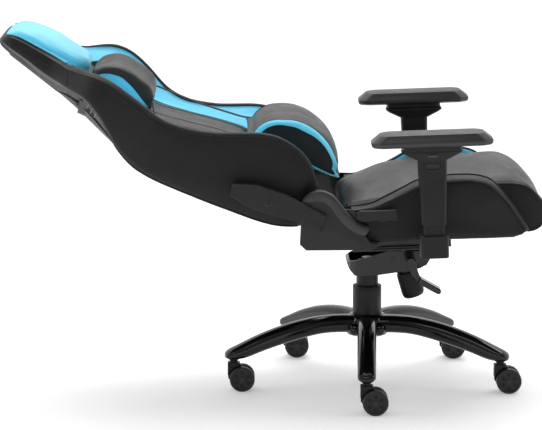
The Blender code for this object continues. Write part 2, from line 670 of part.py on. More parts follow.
CUSHION_TOP = [(SEAT_REAR, 0.128), (SEAT_REAR + 0.012, 0.160), (-0.095, 0.180),
               (-0.034, SEAT_CROWN - 0.001),
               (0.056, 0.200), (0.150, 0.205), (0.230, 0.209), (0.270, 0.204), (0.300, 0.188),
               (0.325, 0.158), (0.341, 0.128), (SEAT_FRONT, 0.100)]
CUSHION_EDGE = [(SEAT_REAR, 0.105), (SEAT_REAR + 0.012, 0.130), (-0.095, 0.143), (-0.034, 0.149),
                (0.045, 0.156), (0.150, 0.168), (0.230, 0.175), (0.270, 0.173), (0.300, 0.165),
                (0.325, 0.140), (0.341, 0.118), (SEAT_FRONT, 0.098)]
CUSHION_UNDER = [(SEAT_REAR, 0.085), (SEAT_REAR + 0.012, 0.068), (-0.095, PAN_TOP + TOUCH),
                 (-0.034, PAN_TOP + TOUCH), (0.230, PAN_TOP + TOUCH), (PAN_FRONT + 0.002, PAN_TOP + TOUCH),
                 (0.300, 0.056), (0.325, 0.059), (0.341, 0.074), (SEAT_FRONT, 0.088)]


def seat_cushion(parent):
    """Crowned centre cushion with a rolled front, lofted from rear to front."""
    stations = [SEAT_REAR, SEAT_REAR + 0.012, -0.095, -0.034, 0.045, 0.150, 0.230, PAN_FRONT + 0.002,
                0.300, 0.325, 0.341, SEAT_FRONT]
    rings = []
    for a in stations:
        top = smooth_value(CUSHION_TOP, a)
        edge = smooth_value(CUSHION_EDGE, a)
        under = smooth_value(CUSHION_UNDER, a)
        half = CUSHION_HALF - (0.020 if a <= SEAT_REAR else 0.004 if a < -0.11 else 0.0)
        half -= 0.012 if a >= SEAT_FRONT else 0.004 if a > 0.33 else 0.0
        right = []
        for share in (0.0, 0.35, 0.65, 0.86):
            right.append((a, half * share, top - (top - edge) * share**2.2))
        right.append((a, half * 0.965, edge - 0.002))
        right.append((a, half, edge - (edge - under) * 0.22))
        right.append((a, half, under + (edge - under) * 0.15))
        right.append((a, half * 0.965, under))
        left = [(x, -y, z) for x, y, z in reversed(right[1:])]
        rings.append(right + left)
    piece("seat_cushion", loft(rings), "black_leather", parent, sharp=50)


BOLSTER_OUTLINE = [(-0.116, 0.135), (-0.070, 0.141), (-0.029, 0.159), (0.008, 0.177), (0.042, 0.193),
                   (0.090, 0.201), (0.137, 0.203), (0.180, 0.199), (0.217, 0.184), (0.257, 0.140),
                   (0.287, 0.093), (0.297, 0.071), (0.283, 0.060), (0.262, PAN_BOTTOM + 0.002),
                   (-0.045, PAN_BOTTOM), (-0.116, PAN_BOTTOM)]


def seat_bolsters(parent):
    inner = CUSHION_HALF + 0.001
    for side, name in ((-1, "seat_bolster_right"), (1, "seat_bolster_left")):
        depth = [(inner, 0.010), (inner + 0.008, 0.003), (BOLSTER_OUTER - 0.020, 0.0),
                 (BOLSTER_OUTER - 0.006, 0.005), (BOLSTER_OUTER, 0.014)]
        rings = []
        for y, drop in depth:
            outline = inset(BOLSTER_OUTLINE, drop) if drop else BOLSTER_OUTLINE
            outline = [(a, max(c, PAN_BOTTOM)) for a, c in outline]
            rings.append([(a, side * y, c) for a, c in outline])
        piece(name, loft(rings), "black_leather", parent, sharp=50)


# ---------------------------------------------------------------- recline hinge (seat frame)

PIVOT_A, PIVOT_C = seat_point(PIVOT_X, PIVOT_Z)
COVER_OUTLINE = [(-0.236, 0.063), (-0.231, 0.120), (-0.226, 0.167), (-0.210, 0.180), (-0.191, 0.187),
                 (-0.174, 0.184), (-0.157, 0.174), (-0.143, 0.158), (-0.128, 0.137), (-0.110, 0.116),
                 (-0.093, 0.103), (-0.075, 0.095), (-0.086, 0.079), (-0.074, 0.063), (-0.057, 0.058),
                 (-0.062, 0.048), (-0.075, 0.0445), (-0.222, 0.0490)]


def hinge_sides(parent):
    bracket_outline = [(-0.222, 0.058), (-0.222, 0.120)] + arc((PIVOT_A, PIVOT_C), 0.042, 160, 40, 6) + [
        (-0.130, 0.1375), (-0.090, 0.1345), (-0.085, 0.118), (-0.100, 0.096), (-0.082, 0.062),
        (-0.050, 0.0560), (-0.050, PAN_BOTTOM - 0.0045), (-0.215, PAN_BOTTOM - 0.0045)]
    for side, tag in ((-1, "right"), (1, "left")):
        y0, y1 = sorted((side * BRACKET_INNER, side * BRACKET_OUTER))
        bracket = side_plate(bracket_outline, y0, y1)
        flange = block(-0.118, -0.052, *sorted((side * 0.150, side * (BRACKET_INNER + 0.002))),
                       PAN_BOTTOM - 0.0040, PAN_BOTTOM - 0.0006)
        bracket = combine(bracket, flange, "UNION")
        pin_hole = along_y(rod(PIVOT_RADIUS + TOUCH, -0.32, 0.32))
        pin_hole = moved(pin_hole, Matrix.Translation((PIVOT_A, 0, PIVOT_C)))
        bracket = combine(bracket, pin_hole, "DIFFERENCE")
        if side < 0:
            lever_hole = moved(along_y(rod(0.005 + TOUCH, -0.32, -0.2, 12)),
                               Matrix.Translation((LEVER_PIN[0], 0, LEVER_PIN[1])))
            bracket = combine(bracket, lever_hole, "DIFFERENCE")
        piece(f"hinge_bracket_{tag}", bracket, "black_steel", parent)

        outer = side_plate(COVER_OUTLINE, *sorted((side * COVER_INNER, side * COVER_OUTER)), 0.002,
                           (side < 0, side > 0))
        hollow = side_plate(inset(COVER_OUTLINE, COVER_WALL), *sorted((side * (COVER_INNER - 0.005),
                            side * (COVER_OUTER - COVER_WALL))))
        cover = combine(outer, hollow, "DIFFERENCE")
        pin_hole = along_y(rod(PIVOT_RADIUS + SLIDE, -0.32, 0.32))
        pin_hole = moved(pin_hole, Matrix.Translation((PIVOT_A, 0, PIVOT_C)))
        cover = combine(cover, pin_hole, "DIFFERENCE")
        piece(f"hinge_cover_{tag}", cover, "trim_plastic", parent)

        gear_low, gear_high = COVER_INNER + 0.001, COVER_OUTER - COVER_WALL - 0.001
        half = (gear_high - gear_low) / 2
        bore = PIVOT_RADIUS + TOUCH
        gear = along_y(turned([(bore, -half), (RECLINER_RADIUS, -half), (RECLINER_RADIUS, half * 0.2),
                               (RECLINER_RADIUS * 0.72, half), (bore, half)], 24))
        piece(f"recliner_{tag}", gear, "bare_steel", parent,
              (PIVOT_A, side * (gear_low + gear_high) / 2, PIVOT_C))
    shaft_reach = ARM_OUTER - 0.0020
    piece("recline_shaft", along_y(rod(PIVOT_RADIUS, -shaft_reach, shaft_reach)), "bare_steel", parent,
          (PIVOT_A, 0, PIVOT_C))


def recline_lever(parent):
    """Flat finger lever in front of the right hinge cover, on a pin through the bracket."""
    pin_a, pin_c = LEVER_PIN
    grip = [(-0.0055, 0.008), (0.003, 0.0125), (0.020, 0.0118), (0.0850, 0.0125), (0.0900, -0.0120),
            (0.084, -0.0140), (0.068, -0.0105), (0.053, -0.0145), (0.038, -0.0105), (0.022, -0.0135),
            (0.006, -0.0120), (0.002, -0.006), (-0.0055, -0.006)]
    lever = side_plate(grip, -LEVER_GRIP_OUTER, -LEVER_GRIP_INNER, 0.0012)
    pin = moved(along_y(rod(0.005, 0.0, 0.026, 12)), Matrix.Translation((0, -BRACKET_INNER - 0.026, 0)))
    lever = combine(lever, pin, "UNION")
    piece("recline_lever", lever, "trim_plastic", parent, (pin_a, 0, pin_c))


# ---------------------------------------------------------------- back (back frame)

HALF_WIDTH = [(0.014, 0.232), (0.045, 0.254), (0.110, 0.2620), (0.250, 0.2625), (0.400, 0.2640),
              (0.480, 0.272), (0.555, 0.283), (0.605, 0.270), (0.650, 0.222), (0.690, 0.172),
              (0.740, 0.150), (0.800, 0.143), (0.830, 0.122), (0.842, 0.095)]
WING_FRONT = [(0.014, 0.044), (0.035, 0.068), (0.060, 0.097), (0.100, 0.118), (0.155, 0.126),
              (0.200, 0.117), (0.250, 0.096), (0.300, 0.075), (0.360, 0.060), (0.420, 0.057),
              (0.480, 0.068), (0.540, 0.084), (0.580, 0.090), (0.620, 0.085), (0.660, 0.078),
              (0.710, 0.070), (0.790, 0.076), (0.842, 0.066)]
WING_REAR = [(0.014, -0.046), (0.090, -0.066), (0.200, -0.075), (0.320, -0.080), (0.420, -0.075),
             (0.480, -0.052), (0.530, -0.016), (0.560, 0.003), (0.600, 0.017), (0.640, 0.012),
             (0.700, 0.008), (0.780, 0.030), (0.842, 0.048)]
PANEL_FRONT = [(0.014, 0.030), (0.050, 0.050), (0.120, 0.060), (0.200, 0.066), (0.260, 0.063),
               (0.300, 0.058), (0.355, 0.049), (0.430, 0.038), (0.520, 0.044), (0.600, 0.056),
               (0.690, 0.066), (0.780, 0.074), (0.842, 0.066)]
PANEL_REAR = [(0.014, -0.050), (0.090, -0.066), (0.200, -0.080), (0.350, -0.088), (0.450, -0.082),
              (0.517, -0.067), (0.557, -0.055), (0.600, -0.040), (0.650, -0.027), (0.740, -0.005),
              (0.820, 0.020), (0.842, 0.040)]


def back_section(s):
    """Cross-section of the back at height s: (d, y) from the middle of the front round to the rear."""
    half = smooth_value(HALF_WIDTH, s)
    front, rear = smooth_value(WING_FRONT, s), smooth_value(WING_REAR, s)
    panel, spine = smooth_value(PANEL_FRONT, s), smooth_value(PANEL_REAR, s)
    inner = half * 0.50
    depth = front - rear
    return [(panel, 0.0), (panel, inner * 0.60), (panel + 0.003, inner),
            (panel + (front - panel) * 0.55, half * 0.72), (front - 0.005, half - 0.040),
            (front, half - 0.020), (front - 0.009, half - 0.006), (front - depth * 0.22, half),
            (rear + depth * 0.22, half), (rear + 0.006, half - 0.012), (rear - 0.002, half - 0.042),
            (spine + (rear - spine) * 0.35, half * 0.58), (spine, half * 0.28), (spine, 0.0)]


def frame_path(reach):
    """Half of the tube frame: out of the side of the wing, up the back and to the middle."""
    lower = Vector((-0.010, reach, 0.075))
    corner = Vector((-0.010, 0.180, 0.075))
    upper = Vector((-0.018, 0.160, 0.470))
    top = Vector((0.000, 0.105, 0.600))
    middle = Vector((0.000, 0.0, 0.600))
    path = [lower]
    path += rounded_corner(lower, corner, upper, 0.030)
    path += [upper]
    path += rounded_corner(upper, top, middle, 0.030)
    return path


def back_frame_tube(radius, reach):
    left = frame_path(reach)
    right = [Vector((p.x, -p.y, p.z)) for p in reversed(left)]
    return swept(left + right, radius, 10)


def back(parent):
    rings = []
    for k in range(BACK_STATIONS):
        share = k / (BACK_STATIONS - 1)
        s = BACK_LOW + (BACK_HIGH - BACK_LOW) * share
        if k == 1:
            s = BACK_LOW + 0.020
        if k == BACK_STATIONS - 2:
            s = BACK_HIGH - 0.014
        half = back_section(s)
        other = [(d, -y) for d, y in reversed(half[1:-1])]
        rings.append([(d, y, s) for d, y in half + other])
    body = loft(rings)
    body = combine(body, back_frame_tube(FRAME_TUBE_RADIUS + TOUCH, 0.300), "DIFFERENCE")
    for side in (-1, 1):
        slot = moved(upright(rounded_box(SLOT_LENGTH / 2, SLOT_WIDTH / 2, SLOT_WIDTH * 0.45), -0.2, 0.2),
                     Matrix.Rotation(math.radians(90), 4, "Y"))
        slot = moved(slot, Matrix.Rotation(math.radians(90) + side * SLOT_LEAN, 4, "X"))
        slot = moved(slot, Matrix.Translation((0, side * SLOT_CENTRE[0], SLOT_CENTRE[1])))
        body = combine(body, slot, "DIFFERENCE")
    piece("back_cushion", body, "black_leather", parent, sharp=50)
    tube = back_frame_tube(FRAME_TUBE_RADIUS, ARM_INNER - TOUCH)
    piece("back_frame", tube, "black_steel", parent)


def head_pad(parent):
    """Domed pad on the front of the head, its lower end a rounded lobe."""
    stations = [(0.618, 0.045), (0.626, 0.066), (0.650, 0.088), (0.690, 0.102), (0.750, 0.108),
                (0.800, 0.106), (0.822, 0.092), (0.830, 0.070)]
    rings = []
    last = len(stations) - 1
    for k, (s, half) in enumerate(stations):
        seat = smooth_value(PANEL_FRONT, s) + 0.0048
        thick = 0.012 if k in (0, last) else 0.024 if k in (1, last - 1) else 0.032
        points = []
        for share, rise in ((-1.0, 0.0), (-1.0, 0.35), (-0.85, 0.75), (-0.5, 0.95), (0.0, 1.0),
                            (0.5, 0.95), (0.85, 0.75), (1.0, 0.35), (1.0, 0.0)):
            lift = 0.0012 if abs(share) == 1.0 else 0.0
            points.append((seat + lift + thick * rise, half * share, s))
        rings.append(points)
    piece("head_pad", loft(rings), "blue_leather", parent, sharp=50)


LUMBAR_OUTLINE = [(0.078, -0.004), (0.098, -0.003), (0.122, 0.008), (0.141, 0.030), (0.155, 0.060),
                  (0.163, 0.095), (0.162, 0.126), (0.153, 0.152), (0.140, 0.178), (0.120, 0.197),
                  (0.096, 0.205), (0.079, 0.200)]
NECK_OUTLINE = [(0.066, 0.455), (0.082, 0.456), (0.096, 0.470), (0.104, 0.498), (0.110, 0.530),
                (0.109, 0.560), (0.100, 0.584), (0.084, 0.600), (0.071, 0.603)]


def pillow(outline, half, crown, waist):
    """Soft roll across the back: an outline in (d, s), drawn in at the ends and fuller in the middle."""
    centre = Vector((sum(d for d, _ in outline) / len(outline), sum(s for _, s in outline) / len(outline)))
    low = min(d for d, _ in outline)
    rings = []
    for share in (-1.0, -0.94, -0.6, -0.25, 0.25, 0.6, 0.94, 1.0):
        ends = abs(share)
        size = 0.80 if ends == 1.0 else 0.95 if ends > 0.9 else 1.0
        bulge = crown * (1 - ends**2) - waist * (1 - ends**2)
        ring = []
        for d, s in outline:
            point = centre + (Vector((d, s)) - centre) * size
            forward = max(point.x - low, 0) / 0.05
            ring.append((point.x + bulge * min(forward, 1.0), share * half, point.y))
        rings.append(ring)
    return loft(rings)


def pillows(parent):
    piece("lumbar_pillow", pillow(LUMBAR_OUTLINE, LUMBAR_HALF, 0.008, 0.0), "black_leather", parent, sharp=50)
    piece("neck_pillow", pillow(NECK_OUTLINE, NECK_HALF, 0.0, 0.010), "black_leather", parent, sharp=50)


def strap(points, side):
    """Flat band through points (d, s) at the strap's y."""
    rings = []
    for k, (d, s) in enumerate(points):
        ahead = Vector(points[min(k + 1, len(points) - 1)])
        behind = Vector(points[max(k - 1, 0)])
        along = (ahead - behind).normalized()
        normal = Vector((along.y, -along.x)) * STRAP_THICKNESS / 2
        y0 = side * (STRAP_Y - STRAP_WIDTH / 2)
        y1 = side * (STRAP_Y + STRAP_WIDTH / 2)
        rings.append([(d + normal.x, y0, s + normal.y), (d + normal.x, y1, s + normal.y),
                      (d - normal.x, y1, s - normal.y), (d - normal.x, y0, s - normal.y)])
    return loft(rings)


def straps(parent):
    """Bands that hold the lumbar pillow: from its top edge up to the shoulder slots."""
    for side, tag in ((-1, "right"), (1, "left")):
        run = [(0.0900, 0.2085), (0.0830, 0.2400), (0.0725, 0.3400), (0.0700, 0.4200), (0.0690, 0.4510)]
        piece(f"lumbar_strap_{tag}", strap(run, side), "webbing", parent)


def hinge_arms(parent):
    """Plastic-covered steel arms from the recline pivots up the sides of the back."""
    outer = [(0.011, -0.014), (0.017, 0.070), (0.0170, 0.092), (0.011, 0.159), (-0.009, 0.213),
             (-0.036, 0.205), (-0.043, 0.148), (-0.037, 0.094), (-0.029, 0.033), (-0.012, -0.020)]
    thick = [(0.0155, 0.074), (0.0155, 0.092), (0.0095, 0.159), (-0.0095, 0.209), (-0.0345, 0.2035),
             (-0.0415, 0.148), (-0.0355, 0.094), (-0.0330, 0.074)]
    for side, tag in ((-1, "right"), (1, "left")):
        low, high = sorted((side * (COVER_OUTER + 0.0006), side * ARM_OUTER))
        plate = side_plate(outer, low, high, 0.0016, (side < 0, side > 0))
        root = side_plate(thick, *sorted((side * ARM_INNER, side * (ARM_OUTER - 0.004))))
        arm = combine(plate, root, "UNION")
        hole = along_y(rod(PIVOT_RADIUS + TOUCH, -0.5, 0.5))
        reach = block(-0.05, 0.05, *sorted((0.0, side * (ARM_OUTER - 0.0017))), -0.05, 0.05)
        arm = combine(arm, combine(hole, reach, "INTERSECT"), "DIFFERENCE")
        piece(f"hinge_arm_{tag}", arm, "trim_plastic", parent)


# ---------------------------------------------------------------- armrests (seat frame)

def button_outline(radius):
    """Long round-ended outline of a height button."""
    front = arc((BUTTON_HALF_A, BUTTON_C), radius, -90, 90, 4)
    return front + arc((-BUTTON_HALF_A, BUTTON_C), radius, 90, 270, 4)


def armrests(parent):
    for side, tag in ((-1, "right"), (1, "left")):
        y = side * ARM_Y
        reach = ARM_Y - SLEEVE_HALF_Y - TOUCH
        bracket = block(ARM_A - 0.026, ARM_A + 0.026, *sorted((side * 0.150, side * (reach - 0.002))),
                        PAN_BOTTOM - 0.0055, PAN_BOTTOM - 0.0005)
        tab = block(ARM_A - 0.023, ARM_A + 0.023, *sorted((side * (reach - 0.005), side * reach)),
                    PAN_BOTTOM - 0.016, PAN_BOTTOM + 0.024)
        piece(f"arm_bracket_{tag}", combine(bracket, tab, "UNION"), "black_steel", parent)

        base = upright(rounded_box(0.0325, SLEEVE_HALF_Y, 0.008), BASE_SLEEVE_BOTTOM, BASE_SLEEVE_TOP,
                       0.002, 0.0015)
        post = upright(rounded_box(POST_HALF_A, POST_HALF_Y, 0.006), BASE_SLEEVE_TOP - 0.01, 0.196)
        base = combine(base, post, "UNION")
        piece(f"arm_base_{tag}", base, "trim_plastic", parent, (ARM_A, y, 0))

        rings = []
        for c, half_a, half_y in ((SLEEVE_BOTTOM, 0.0285, SLEEVE_HALF_Y - 0.0015),
                                  (SLEEVE_SHOULDER, 0.0330, SLEEVE_HALF_Y),
                                  (HEAD_TOP - 0.006, 0.0620, 0.0285), (HEAD_TOP, 0.0700, 0.0300)):
            rings.append([(a, b, c) for a, b in rounded_box(half_a, half_y, 0.009)])
        sleeve = loft(rings)
        socket = rounded_box(POST_HALF_A + SLIDE, POST_HALF_Y + SLIDE, 0.006)
        bore = upright(socket, SLEEVE_BOTTOM - 0.01, SLEEVE_BORE_TOP)
        sleeve = combine(sleeve, bore, "DIFFERENCE")
        recess = side_plate(button_outline(BUTTON_RADIUS + SLIDE),
                            *sorted((side * (SLEEVE_HALF_Y - 0.006), side * (SLEEVE_HALF_Y + 0.004))))
        sleeve = combine(sleeve, recess, "DIFFERENCE")
        piece(f"arm_sleeve_{tag}", sleeve, "trim_plastic", parent, (ARM_A, y, 0))

        button = side_plate(button_outline(BUTTON_RADIUS),
                            *sorted((side * (SLEEVE_HALF_Y - 0.0032), side * (SLEEVE_HALF_Y - 0.0006))))
        piece(f"arm_button_{tag}", button, "trim_plastic", parent, (ARM_A, y, 0))

        plate = upright(rounded_box(0.0680, 0.0310, 0.010), HEAD_TOP + TOUCH, SLIDE_PLATE_TOP)
        piece(f"arm_slide_plate_{tag}", plate, "trim_plastic", parent, (ARM_A, y, 0))
        carriage = upright(rounded_box(0.0660, 0.0330, 0.010), SLIDE_PLATE_TOP + TOUCH, CARRIAGE_TOP)
        spindle = rod(PAD_SPINDLE_RADIUS, CARRIAGE_TOP - 0.0022, CARRIAGE_TOP + 0.0053)
        carriage = combine(carriage, spindle, "UNION")
        piece(f"arm_carriage_{tag}", carriage, "trim_plastic", parent, (ARM_A, side * PAD_Y, 0))

        pad_frame = empty(f"pad_axis_{tag}", parent, (ARM_A, side * PAD_Y, CARRIAGE_TOP + TOUCH))
        plan = rounded_box(PAD_LENGTH / 2, PAD_WIDTH / 2, 0.018)
        top = [(a * 0.80, b * 0.72) for a, b in plan]
        lower = [(a * 0.985, b * 0.97) for a, b in plan]
        shoulder = [(a * 0.90, b * 0.86) for a, b in plan]
        rings = [[(a, b, 0.0) for a, b in inset(plan, 0.008)], [(a, b, 0.004) for a, b in lower],
                 [(a, b, 0.0120) for a, b in plan], [(a, b, PAD_HEIGHT - 0.0060) for a, b in shoulder],
                 [(a, b, PAD_HEIGHT) for a, b in top]]
        pad = loft(rings)
        pad = combine(pad, rod(PAD_SPINDLE_RADIUS + TOUCH, -0.01, 0.0060), "DIFFERENCE")
        piece(f"arm_pad_{tag}", pad, "arm_pad", pad_frame)


# ---------------------------------------------------------------- assembly

def build():
    clear_scene()
    root = empty("chair_root", None, (COLUMN_X, 0, 0))
    star_base(root)
    casters(root)
    gas_lift(root)
    tilt_mechanism(root)
    tension_parts(root)
    height_lever(root)
    seat = empty("seat_frame_origin", root, (SEAT_X, 0, SEAT_Z), (0, -SEAT_PITCH, 0))
    seat_structure(seat)
    seat_cushion(seat)
    seat_bolsters(seat)
    hinge_sides(seat)
    recline_lever(seat)
    armrests(seat)
    back_origin = empty("recline_axis", root, (PIVOT_X, 0, PIVOT_Z), (0, -RECLINED, 0))
    back(back_origin)
    head_pad(back_origin)
    pillows(back_origin)
    straps(back_origin)
    hinge_arms(back_origin)


build()
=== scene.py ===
"""Looks of the reclined gaming chair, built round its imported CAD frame.

Metres, +Z up, the chair faces +X and the sitter's left is +Y.  SEAT and BACK are the seat's and the
backrest's own frames: in SEAT x runs forward and z up from the swivel, in BACK x comes out of the front
of the back and z runs up it from the recline pivot.
"""

import math

import bmesh
import bpy
from mathutils import Matrix, Vector, noise


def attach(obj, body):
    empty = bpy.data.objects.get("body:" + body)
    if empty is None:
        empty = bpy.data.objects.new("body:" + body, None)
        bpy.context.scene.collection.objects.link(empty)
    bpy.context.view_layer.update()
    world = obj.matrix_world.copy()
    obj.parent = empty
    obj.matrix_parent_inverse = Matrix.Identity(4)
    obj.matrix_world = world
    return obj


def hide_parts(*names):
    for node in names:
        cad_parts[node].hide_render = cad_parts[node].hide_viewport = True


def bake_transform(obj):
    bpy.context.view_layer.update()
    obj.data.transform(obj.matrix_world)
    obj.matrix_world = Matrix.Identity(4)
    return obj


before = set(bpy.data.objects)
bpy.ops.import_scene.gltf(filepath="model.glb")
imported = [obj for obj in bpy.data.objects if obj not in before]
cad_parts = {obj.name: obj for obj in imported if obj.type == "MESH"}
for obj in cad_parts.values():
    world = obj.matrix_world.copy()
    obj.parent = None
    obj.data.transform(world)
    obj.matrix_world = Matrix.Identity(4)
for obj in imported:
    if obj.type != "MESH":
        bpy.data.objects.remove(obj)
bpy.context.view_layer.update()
noise.seed_set(1)       # noise_vector draws its offsets from this seed, and from the clock without it

COLUMN_X = 0.2275
SEAT_PITCH = math.radians(2.0)
RECLINED = math.radians(66.0)
BASE = Matrix.Translation((COLUMN_X, 0, 0))
SEAT = BASE @ Matrix.Translation((0.070, 0, 0.335)) @ Matrix.Rotation(-SEAT_PITCH, 4, "Y")
BACK = BASE @ Matrix.Translation((-0.125, 0, 0.455)) @ Matrix.Rotation(-RECLINED, 4, "Y")
SIDES = ((-1, "right"), (1, "left"))


# ---------------------------------------------------------------- materials

class Nodes:
    """A material's node tree, with short calls for what repeats."""

    def __init__(self, name, colour, roughness, metallic=0.0, specular=0.5, coat=0.0, coat_roughness=0.05):
        self.material = bpy.data.materials.new(name)
        self.material.use_nodes = True
        self.tree = self.material.node_tree
        self.shader = self.tree.nodes["Principled BSDF"]
        self.colour = colour
        self.shader.inputs["Base Color"].default_value = (*colour, 1)
        self.shader.inputs["Roughness"].default_value = roughness
        self.shader.inputs["Metallic"].default_value = metallic
        self.shader.inputs["Specular IOR Level"].default_value = specular
        self.shader.inputs["Coat Weight"].default_value = coat
        self.shader.inputs["Coat Roughness"].default_value = coat_roughness
        self.where = self.node("ShaderNodeTexCoord").outputs["Object"]

    def node(self, kind, **settings):
        made = self.tree.nodes.new(kind)
        for key, value in settings.items():
            setattr(made, key, value)
        return made

    def join(self, output, target):
        self.tree.links.new(output, target)

    def stretched(self, scale):
        mapping = self.node("ShaderNodeMapping")
        mapping.inputs["Scale"].default_value = scale
        self.join(self.where, mapping.inputs["Vector"])
        return mapping.outputs["Vector"]

    def noise(self, scale, detail=3.0, where=None):
        made = self.node("ShaderNodeTexNoise")
        made.inputs["Scale"].default_value = scale
        made.inputs["Detail"].default_value = detail
        self.join(where or self.where, made.inputs["Vector"])
        return made.outputs["Fac"]

    def cells(self, scale, feature="DISTANCE_TO_EDGE", randomness=1.0, dimensions="3D"):
        made = self.node("ShaderNodeTexVoronoi", feature=feature, voronoi_dimensions=dimensions)
        made.inputs["Scale"].default_value = scale
        made.inputs["Randomness"].default_value = randomness
        self.join(self.where, made.inputs["Vector"])
        return made.outputs["Distance"]

    def ranged(self, value, from_low, from_high, to_low, to_high):
        made = self.node("ShaderNodeMapRange")
        for key, number in (("From Min", from_low), ("From Max", from_high), ("To Min", to_low),
                            ("To Max", to_high)):
            made.inputs[key].default_value = number
        self.join(value, made.inputs["Value"])
        return made.outputs["Result"]

    def ramp(self, value, stops):
        made = self.node("ShaderNodeValToRGB")
        ramp = made.color_ramp
        while len(ramp.elements) < len(stops):
            ramp.elements.new(0.5)
        for element, (position, colour) in zip(ramp.elements, stops):
            element.position = position
            element.color = (*colour, 1)
        self.join(value, made.inputs["Fac"])
        return made.outputs["Color"]

    def mottle(self, scale, spread, rough_low, rough_high):
        """Slow changes of tone and of gloss over the surface."""
        blotch = self.noise(scale, 4.0)
        darker = tuple(c * (1 - spread) for c in self.colour)
        lighter = tuple(min(c * (1 + spread), 1.0) for c in self.colour)
        self.join(self.ramp(blotch, [(0.35, darker), (0.65, lighter)]), self.shader.inputs["Base Color"])
        gloss = self.noise(scale * 3.1, 3.0)
        self.join(self.ranged(gloss, 0.3, 0.7, rough_low, rough_high), self.shader.inputs["Roughness"])

    def bump(self, heights, strength):
        """Bumps from (height output, distance) pairs, the first the coarsest."""
        normal = None
        for height, distance in heights:
            made = self.node("ShaderNodeBump")
            made.inputs["Strength"].default_value = strength
            made.inputs["Distance"].default_value = distance
            self.join(height, made.inputs["Height"])
            if normal is not None:
                self.join(normal, made.inputs["Normal"])
            normal = made.outputs["Normal"]
        self.join(normal, self.shader.inputs["Normal"])


def leather(name, colour, roughness, perforated=False, specular=0.4):
    """Coated leather: pebble grain, fine creases, slow mottling; perforated where the seat breathes."""
    made = Nodes(name, colour, roughness, specular=specular)
    made.mottle(9.0, 0.10, roughness - 0.05, roughness + 0.07)
    heights = [(made.noise(26.0, 2.0), 0.0016),
               (made.ranged(made.cells(620.0), 0.0, 0.22, 0.0, 1.0), 0.00018),
               (made.noise(1500.0, 2.0), 0.00006)]
    if perforated:
        holes = made.ranged(made.cells(210.0, "F1", 0.0, "2D"), 0.13, 0.24, 0.0, 1.0)
        heights.append((holes, 0.0006))
        shade = made.node("ShaderNodeMix", data_type="RGBA", blend_type="MULTIPLY")
        shade.inputs["Factor"].default_value = 1.0
        tone = made.ramp(holes, [(0.0, (0.25, 0.25, 0.25)), (1.0, (1, 1, 1))])
        base = made.shader.inputs["Base Color"].links[0].from_socket
        made.join(base, shade.inputs["A"])
        made.join(tone, shade.inputs["B"])
        made.join(shade.outputs["Result"], made.shader.inputs["Base Color"])
    made.bump(heights, 0.55)
    return made.material


def moulded(name, colour, roughness, grain=900.0, specular=0.5):
    """Spark-textured moulded plastic, a little paler on sharp edges: partly rubbing wear, partly painted
    highlight.
    """
    made = Nodes(name, colour, roughness, specular=specular)
    made.mottle(14.0, 0.08, roughness - 0.05, roughness + 0.06)
    # Sharp edges (found by pointiness) are painted paler: partly rubbing wear, partly painted highlight.
    edge = made.node("ShaderNodeNewGeometry").outputs["Pointiness"]
    wear_and_highlight = made.node("ShaderNodeMix", data_type="RGBA")
    base = made.shader.inputs["Base Color"].links[0].from_socket
    made.join(made.ranged(edge, 0.53, 0.62, 0.0, 0.35), wear_and_highlight.inputs["Factor"])
    made.join(base, wear_and_highlight.inputs["A"])
    wear_and_highlight.inputs["B"].default_value = (*(min(c * 3.0 + 0.02, 1.0) for c in colour), 1)
    made.join(wear_and_highlight.outputs["Result"], made.shader.inputs["Base Color"])
    made.bump([(made.noise(grain, 4.0), 0.00012), (made.noise(grain * 0.2, 2.0), 0.0001)], 0.5)
    return made.material


def glossy(name, colour, roughness=0.10):
    """Lacquered black: a clear coat over a faintly uneven moulding."""
    made = Nodes(name, colour, roughness, specular=0.34, coat=0.15, coat_roughness=0.04)
    made.mottle(7.0, 0.06, roughness - 0.03, roughness + 0.05)
    made.bump([(made.noise(16.0, 2.0), 0.0006)], 0.15)
    return made.material


def steel(name, colour, roughness=0.28):
    """Machined steel with fine turning marks."""
    made = Nodes(name, colour, roughness, metallic=1.0)
    made.mottle(25.0, 0.08, roughness - 0.06, roughness + 0.10)
    made.bump([(made.noise(240.0, 3.0, made.stretched((1.0, 1.0, 9.0))), 0.00008)], 0.5)
    return made.material


def fabric(name, colour, roughness, pitch=0.0012):
    """Woven tape or thread: crossed yarns and a soft sheen."""
    made = Nodes(name, colour, roughness, specular=0.25)
    made.shader.inputs["Sheen Weight"].default_value = 0.25
    made.mottle(30.0, 0.12, roughness - 0.06, roughness + 0.06)
    across = made.cells(1.0 / pitch, "F1", 0.15)
    made.bump([(across, 0.0003), (made.noise(900.0, 2.0), 0.0001)], 0.7)
    return made.material


BLACK = leather("leather_black", (0.0085, 0.0085, 0.0088), 0.44, specular=0.24)
PANEL = leather("leather_panel", (0.0125, 0.0122, 0.0122), 0.42, specular=0.42)
SEAT_TOP = leather("leather_perforated", (0.0150, 0.0145, 0.0145), 0.42, perforated=True, specular=0.50)
BLUE = leather("leather_blue", (0.140, 0.665, 0.930), 0.46, specular=0.30)
PALE_BLUE = leather("leather_blue_head", (0.225, 0.720, 0.950), 0.46, specular=0.35)
PIPING = leather("leather_piping", (0.008, 0.008, 0.0083), 0.38, specular=0.35)
# Near-black cords laid along the seams: painted shadow of the seam grooves.
SEAM_SHADOW = fabric("seam_shadow", (0.003, 0.003, 0.003), 0.8)
THREAD = fabric("thread_black", (0.030, 0.030, 0.031), 0.6, 0.0006)
WEBBING = fabric("webbing_black", (0.0065, 0.0064, 0.0064), 0.8)
PLASTIC = moulded("plastic_black", (0.0085, 0.0085, 0.0088), 0.42, specular=0.26)
TRIM = moulded("plastic_trim", (0.0150, 0.0150, 0.0153), 0.46, specular=0.28)
